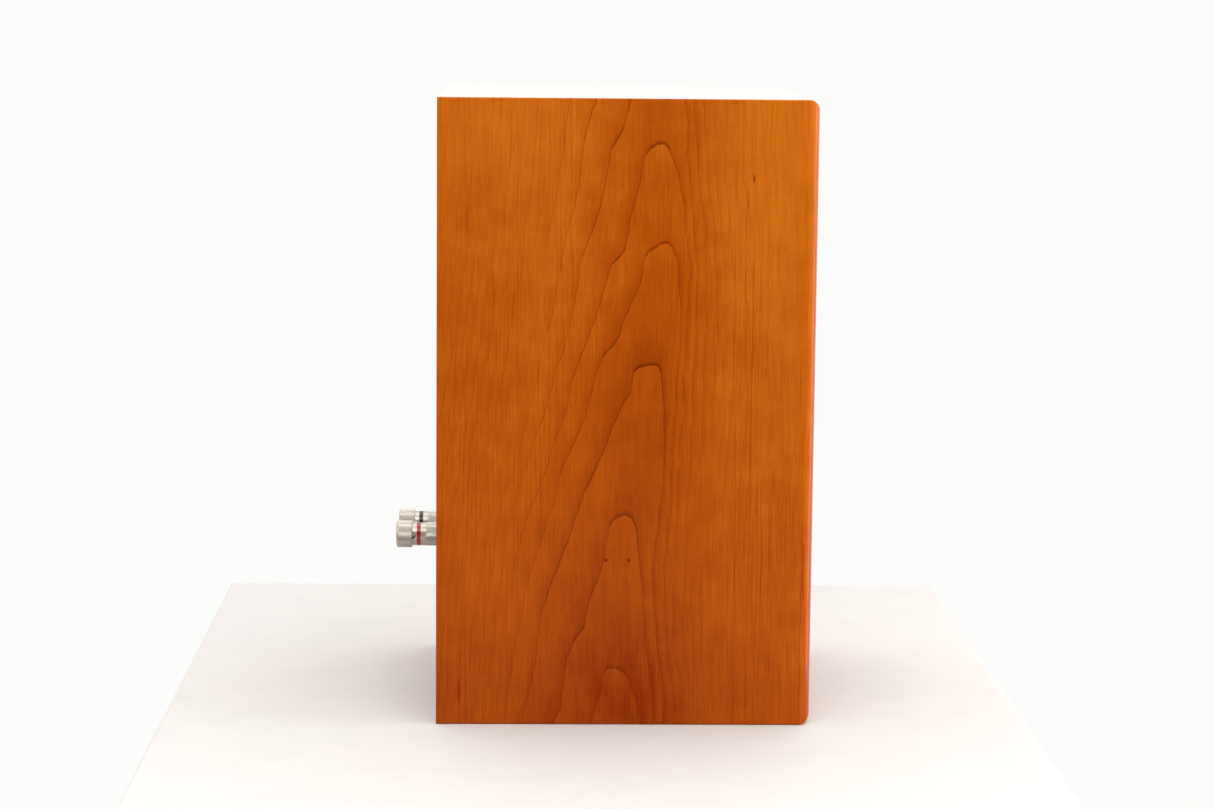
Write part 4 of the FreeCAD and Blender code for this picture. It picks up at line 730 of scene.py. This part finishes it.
def flexing_ring(name, profile, centre, slot, replaced, sectors):
    """A ring that stretches between the fixed frame and a moving diaphragm, made in sectors."""
    sweep, sector_steps = 2 * math.pi / sectors, 9
    for index in range(sectors):
        work = turned(profile, centre, sector_steps, sweep, index * sweep)
        piece = as_object(work, f"{name}_{index + 1:02d}", slot)
        # The corner at angle nought lies along +X, and a turn about Y carries it towards -Z.
        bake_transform(piece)
        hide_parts(replaced)


def driver_centre(node):
    """Where a driver's axis meets the front of the baffle."""
    centre = middle(node)
    return Vector((centre.x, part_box("front_baffle")[0].y, centre.z))


class LOUDSPEAKER_OT_cabinet(bpy.types.Operator):
    """Veneer the six boards as one wrapped sheet, and leave the brace bare"""

    bl_idname = "loudspeaker.cabinet"
    bl_label = "Cabinet"

    def execute(self, context):
        dress("left_side_panel", "right_side_panel", "top_panel", "bottom_panel", "front_baffle",
              "rear_panel", "shelf_brace", "grille_sockets")
        return {"FINISHED"}


class LOUDSPEAKER_OT_binding_posts(bpy.types.Operator):
    """Finish the two binding posts and what holds them"""

    bl_idname = "loudspeaker.binding_posts"
    bl_label = "Binding Posts"

    def execute(self, context):
        for side in ("red", "black"):
            dress(f"{side}_post_body", f"{side}_post_ring", f"{side}_post_cap", f"{side}_post_washer")
        dress("post_bushings", "post_insulating_washers", "post_nuts", "post_solder_tags")
        return {"FINISHED"}


class LOUDSPEAKER_OT_rear_fittings(bpy.types.Operator):
    """Finish the terminal plate and the reflex port"""

    bl_idname = "loudspeaker.rear_fittings"
    bl_label = "Rear Fittings"

    def execute(self, context):
        dress("terminal_plate", "terminal_plate_seal", "terminal_plate_screws", "port_tube")
        return {"FINISHED"}


class LOUDSPEAKER_OT_woofer_frame(bpy.types.Operator):
    """Finish the woofer's basket, motor, screws and tags"""

    bl_idname = "loudspeaker.woofer_frame"
    bl_label = "Woofer Frame"

    def execute(self, context):
        dress("woofer_basket", "woofer_gasket", "woofer_screws", "woofer_top_plate", "woofer_magnet",
              "woofer_yoke", "woofer_tag_board", "woofer_tags", "woofer_coil_former", "woofer_voice_coil")
        return {"FINISHED"}


class LOUDSPEAKER_OT_woofer_cone(bpy.types.Operator):
    """Turn the woofer's cone and dust cap"""

    bl_idname = "loudspeaker.woofer_cone"
    bl_label = "Woofer Cone"

    def execute(self, context):
        steps = context.scene.loudspeaker_shape.turning_steps
        centre = driver_centre("woofer_cone")
        rim, neck, lip_radius, skin = (43.8, 3.0), (16.15, 21.0), 46.8, 0.8
        rim_back, neck_back = (rim[0], rim[1] + skin), (neck[0], neck[1] + skin)
        flare, flare_steps = 1.6, 24
        front = [(lip_radius, rim[1]), rim, *bow(rim, neck, flare, flare_steps), neck]
        back = [neck_back, *bow(neck_back, rim_back, -flare, flare_steps), rim_back,
                (lip_radius, rim_back[1])]
        cone = as_object(turned(front + back, centre, steps), "woofer_cone_shell", "cone",
                         "woofer_diaphragm")
        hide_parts("woofer_cone")
        cap_low, cap_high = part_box("woofer_dust_cap")
        radius = (cap_high.x - cap_low.x) / 2 / MM
        edge, top = (cap_high.y - centre.y) / MM, (cap_low.y - centre.y) / MM
        cap_skin, cap_steps = 0.5, 48
        rise = edge - cap_skin - top
        outside, inside = (
            bow((radius, depth), (-radius, depth), rise, cap_steps)[:cap_steps // 2 - 1]
            for depth in (edge - cap_skin, edge))
        profile = [(radius, edge), (radius, edge - cap_skin), *outside, (0, top), (0, top + cap_skin),
                   *reversed(inside)]
        cap = as_object(turned(profile, centre, steps), "woofer_dust_cap_shell", "dust_cap",
                        "woofer_diaphragm")
        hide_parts("woofer_dust_cap")
        return {"FINISHED"}


class LOUDSPEAKER_OT_woofer_suspension(bpy.types.Operator):
    """Build the woofer's surround, spider and leads"""

    bl_idname = "loudspeaker.woofer_suspension"
    bl_label = "Woofer Suspension"

    def execute(self, context):
        sectors = context.scene.loudspeaker_shape.surround_sectors
        centre = driver_centre("woofer_cone")
        skin, outer, roll_out, roll_in, inner = 0.6, 60.2, 56.0, 46.8, 43.8
        back, roll_steps = 2.8, 22
        front = back - skin
        radius = (roll_out - roll_in) / 2
        roll = [(outer, back), (outer, front), (roll_out, front),
                *bow((roll_out, front), (roll_in, front), radius, roll_steps),
                (roll_in, front), (inner, front), (inner, back), (roll_in + skin, back),
                *bow((roll_in + skin, back), (roll_out - skin, back), skin - radius, roll_steps),
                (roll_out - skin, back)]
        flexing_ring("woofer_surround", roll, centre, "rubber_roll", "woofer_surround",
                     sectors)
        spider_low, spider_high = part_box("woofer_spider")
        outer = (spider_high.x - spider_low.x) / 2 / MM
        middle_depth, thick, inner, start, lip = 24.75, 0.5, 16.2, 18.2, 41.65
        waves, wave_height, wave_steps = 4, 1.1, 12
        steps = waves * wave_steps
        crests = [(start + (lip - start) * step / steps,
                   middle_depth - wave_height * math.sin(2 * math.pi * step / wave_steps))
                  for step in range(steps + 1)]
        line = [(inner, middle_depth), *crests, (outer, middle_depth)]
        cloth = [(r, d - thick / 2) for r, d in reversed(line)] + [(r, d + thick / 2) for r, d in line]
        flexing_ring("woofer_spider", cloth, centre, "spider", "woofer_spider", sectors)
        self.leads(centre)
        return {"FINISHED"}

    @staticmethod
    def leads(centre):
        """The two braids, as merged copies of the model's own, bent between tag board and cone."""
        source = frame["nodes"]["woofer_tinsel_leads"]
        work = bmesh.new()
        work.from_mesh(source.data)
        bmesh.ops.remove_doubles(work, verts=work.verts, dist=1e-6)
        piece = as_object(work, "woofer_braids", SLOT_OF["woofer_tinsel_leads"], smooth=40)
        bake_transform(piece)
        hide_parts("woofer_tinsel_leads")


class LOUDSPEAKER_OT_tweeter(bpy.types.Operator):
    """Finish the tweeter"""

    bl_idname = "loudspeaker.tweeter"
    bl_label = "Tweeter"

    def execute(self, context):
        dress("tweeter_faceplate", "tweeter_gasket", "tweeter_screws", "tweeter_voice_coil",
              "tweeter_top_plate", "tweeter_magnet", "tweeter_yoke", "tweeter_rear_chamber", "tweeter_tags",
              "tweeter_dome", "tweeter_surround")
        return {"FINISHED"}


class LOUDSPEAKER_OT_crossover(bpy.types.Operator):
    """Finish the crossover board and its parts"""

    bl_idname = "loudspeaker.crossover"
    bl_label = "Crossover"

    def execute(self, context):
        dress("crossover_board", "crossover_standoffs", "crossover_screws", "crossover_coils",
              "crossover_bobbins", "crossover_capacitors", "crossover_resistors", "leads_positive",
              "leads_negative")
        return {"FINISHED"}


class LOUDSPEAKER_OT_wadding(bpy.types.Operator):
    """Cut the damping pads: soft wadding on the boards, with rounded uneven faces"""

    bl_idname = "loudspeaker.wadding"
    bl_label = "Wadding"

    def execute(self, context):
        sag = context.scene.loudspeaker_shape.wadding_sag
        work = bmesh.new()
        work.from_mesh(frame["nodes"]["damping_pads"].data)
        bmesh.ops.remove_doubles(work, verts=work.verts, dist=1e-6)
        islands = []
        left = set(work.verts)
        while left:
            group, edge = set(), {min(left, key=lambda corner: corner.index)}
            while edge:
                group |= edge
                edge = {other.other_vert(v) for v in edge for other in v.link_edges} - group
            left -= group
            low = Vector([min(v.co[i] for v in group) for i in range(3)])
            high = Vector([max(v.co[i] for v in group) for i in range(3)])
            islands.append((low, high))
        work.free()
        for number, (low, high) in enumerate(sorted(islands, key=lambda box: tuple(box[0])), 1):
            self.pad(number, low, high, sag)
        return {"FINISHED"}

    @staticmethod
    def pad(number, low, high, sag):
        rounding, broad_area, cuts, soft_edge = 0.3, 0.001, 14, 0.02
        tall_wave, flat_wave = 95, 80
        size, centre = high - low, (low + high) / 2
        work = rounded_box(low, high, min(size) * rounding, 4)
        broad = [face for face in work.faces if face.calc_area() > broad_area]
        grid = {edge for face in broad for edge in face.edges}
        bmesh.ops.subdivide_edges(work, edges=list(grid), cuts=cuts, use_grid_fill=True)
        thin = min(range(3), key=lambda axis: size[axis])
        for corner in work.verts:
            away = corner.co - centre
            if abs(away[thin]) <= size[thin] * 0.45:
                continue
            edge = min(abs(abs(away[axis]) - size[axis] / 2) for axis in range(3) if axis != thin)
            swell = min(1.0, edge / soft_edge)
            ripple = 0.5 + 0.5 * math.sin(corner.co.z * tall_wave + number) * math.sin(
                (corner.co.y + corner.co.x) * flat_wave + 2 * number)
            corner.co[thin] -= math.copysign(sag * (1 - swell * ripple), away[thin])
        bmesh.ops.recalc_face_normals(work, faces=work.faces)
        piece = as_object(work, f"wadding_{number}", "wadding", "cabinet", smooth=60)
        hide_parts("damping_pads")


class LOUDSPEAKER_OT_stage(bpy.types.Operator):
    """Set the pale table, the soft lights and the camera"""

    bl_idname = "loudspeaker.stage"
    bl_label = "Stage"

    def execute(self, context):
        stage = context.scene.loudspeaker_stage
        self.table()
        self.room(stage.room_light)
        self.softbox("Overhead Softbox", (0.25, 0.0, 1.5), (0.0, 0.0, 0.17), (1.6, 1.3), stage.softbox_power)
        self.softbox("Rear Side Softbox", (-1.5, 1.25, 1.0), (0, 0, 0.15), (0.9, 1.1), stage.side_power)
        self.softbox("Front Side Softbox", (-1.5, -1.3, 0.9), (0, 0, 0.15), (0.9, 1.1), stage.side_power)
        self.softbox("Edge Softbox", (-0.35, -1.3, 0.20), (-0.1, -0.1, 0.17), (0.8, 1.2), stage.edge_power)
        self.softbox("Front Softbox", (-1.35, 0.0, 1.7), (-0.2, 0.0, 0.1), (1.4, 0.8), stage.front_power)
        self.softbox("Backdrop Glow", (1.6, 0.0, 0.62), (0.0, 0.0, 0.34), (3.0, 0.55), stage.glow_power)
        self.camera(stage)
        return {"FINISHED"}

    @staticmethod
    def table():
        low, high = Vector((-0.85, -0.222, -0.0302)), Vector((0.292, 0.252, -0.0002))
        work = rounded_box(low, high, 1.5 * MM, 3)
        mesh = bpy.data.meshes.new("Table")
        work.to_mesh(mesh)
        work.free()
        mesh.materials.append(plastic("Pale Table", linear(221, 219, 217), 0.7, 0.5, 0.0, 0.001 * MM,
                                      flow=0.08, specular_ior_level=0.15))
        table = bpy.data.objects.new("Table", mesh)
        bpy.context.scene.collection.objects.link(table)

    @staticmethod
    def room(strength):
        world = bpy.data.worlds.new("Studio")
        world.use_nodes = True
        bpy.context.scene.world = world
        n = Nodes(world.node_tree)
        output = world.node_tree.nodes["World Output"]
        backdrop = n.add("ShaderNodeBackground", {"Color": linear(251, 252, 250), "Strength": 1.0})
        facing = n.split(n.add("ShaderNodeTexCoord").outputs["Generated"])[0]
        light = n.add("ShaderNodeBackground", {
            "Color": (1.0, 0.99, 0.97, 1),
            "Strength": n.between(facing, -0.6, 0.5, strength, 1.0, smooth=True)})
        seen = n.add("ShaderNodeLightPath").outputs["Is Camera Ray"]
        mixed = n.add("ShaderNodeMixShader", {0: seen, 1: light.outputs[0], 2: backdrop.outputs[0]})
        n.plug(output.inputs["Surface"], mixed.outputs[0])

    @staticmethod
    def softbox(name, place, target, size, power):
        light = bpy.data.lights.new(name, "AREA")
        light.shape = "RECTANGLE"
        light.size, light.size_y = size
        light.energy = power
        light.color = (1.0, 0.985, 0.96)
        lamp = bpy.data.objects.new(name, light)
        lamp.location = place
        lamp.rotation_euler = (Vector(target) - Vector(place)).to_track_quat("-Z", "Y").to_euler()
        lamp.visible_camera = False
        bpy.context.scene.collection.objects.link(lamp)

    @staticmethod
    def camera(stage):
        tilt, turn, roll = stage.camera_tilt, stage.camera_turn, stage.camera_roll
        ahead = Vector((math.cos(turn) * math.cos(tilt), -math.sin(turn) * math.cos(tilt), -math.sin(tilt)))
        level = ahead.cross(Vector((0, 0, 1))).normalized()
        plumb = level.cross(ahead)
        right = level * math.cos(roll) + plumb * math.sin(roll)
        up = plumb * math.cos(roll) - level * math.sin(roll)
        data = bpy.data.cameras.new("Camera")
        data.lens, data.sensor_width = stage.lens, 36.0
        data.clip_start = 0.01
        camera = bpy.data.objects.new("Camera", data)
        camera.matrix_world = Matrix.Translation(stage.camera_place) @ Matrix(
            (right, up, -ahead)).transposed().to_4x4()
        bpy.context.scene.collection.objects.link(camera)
        bpy.context.scene.camera = camera
        bpy.context.scene.view_settings.view_transform = "Standard"


OPERATORS = (
    LOUDSPEAKER_OT_stage, LOUDSPEAKER_OT_cabinet, LOUDSPEAKER_OT_binding_posts, LOUDSPEAKER_OT_rear_fittings,
    LOUDSPEAKER_OT_woofer_frame, LOUDSPEAKER_OT_woofer_cone, LOUDSPEAKER_OT_woofer_suspension,
    LOUDSPEAKER_OT_tweeter, LOUDSPEAKER_OT_crossover, LOUDSPEAKER_OT_wadding,
)


class LOUDSPEAKER_PT_panel(bpy.types.Panel):
    """Lists the loudspeaker's pieces and settings"""

    bl_idname = "LOUDSPEAKER_PT_panel"
    bl_label = "Bookshelf Loudspeaker"
    bl_space_type = "VIEW_3D"
    bl_region_type = "UI"
    bl_category = "Loudspeaker"

    def draw(self, context):
        for operator in OPERATORS:
            self.layout.operator(operator.bl_idname)
        for settings in (context.scene.loudspeaker_finish, context.scene.loudspeaker_shape,
                         context.scene.loudspeaker_stage):
            box = self.layout.box()
            for label in settings.__annotations__:
                box.prop(settings, label)


SETTINGS = {
    "loudspeaker_finish": LoudspeakerFinish,
    "loudspeaker_shape": LoudspeakerShape,
    "loudspeaker_stage": LoudspeakerStage,
}


def register():
    for made in (*SETTINGS.values(), *OPERATORS, LOUDSPEAKER_PT_panel):
        bpy.utils.register_class(made)
    for name, made in SETTINGS.items():
        setattr(bpy.types.Scene, name, bpy.props.PointerProperty(type=made))


def unregister():
    for name in SETTINGS:
        delattr(bpy.types.Scene, name)
    for made in reversed((*SETTINGS.values(), *OPERATORS, LOUDSPEAKER_PT_panel)):
        bpy.utils.unregister_class(made)


def main():
    """Builds every piece in order."""
    register()
    for operator in OPERATORS:
        group, name = operator.bl_idname.split(".")
        getattr(getattr(bpy.ops, group), name)()


if __name__ == "__main__":
    main()
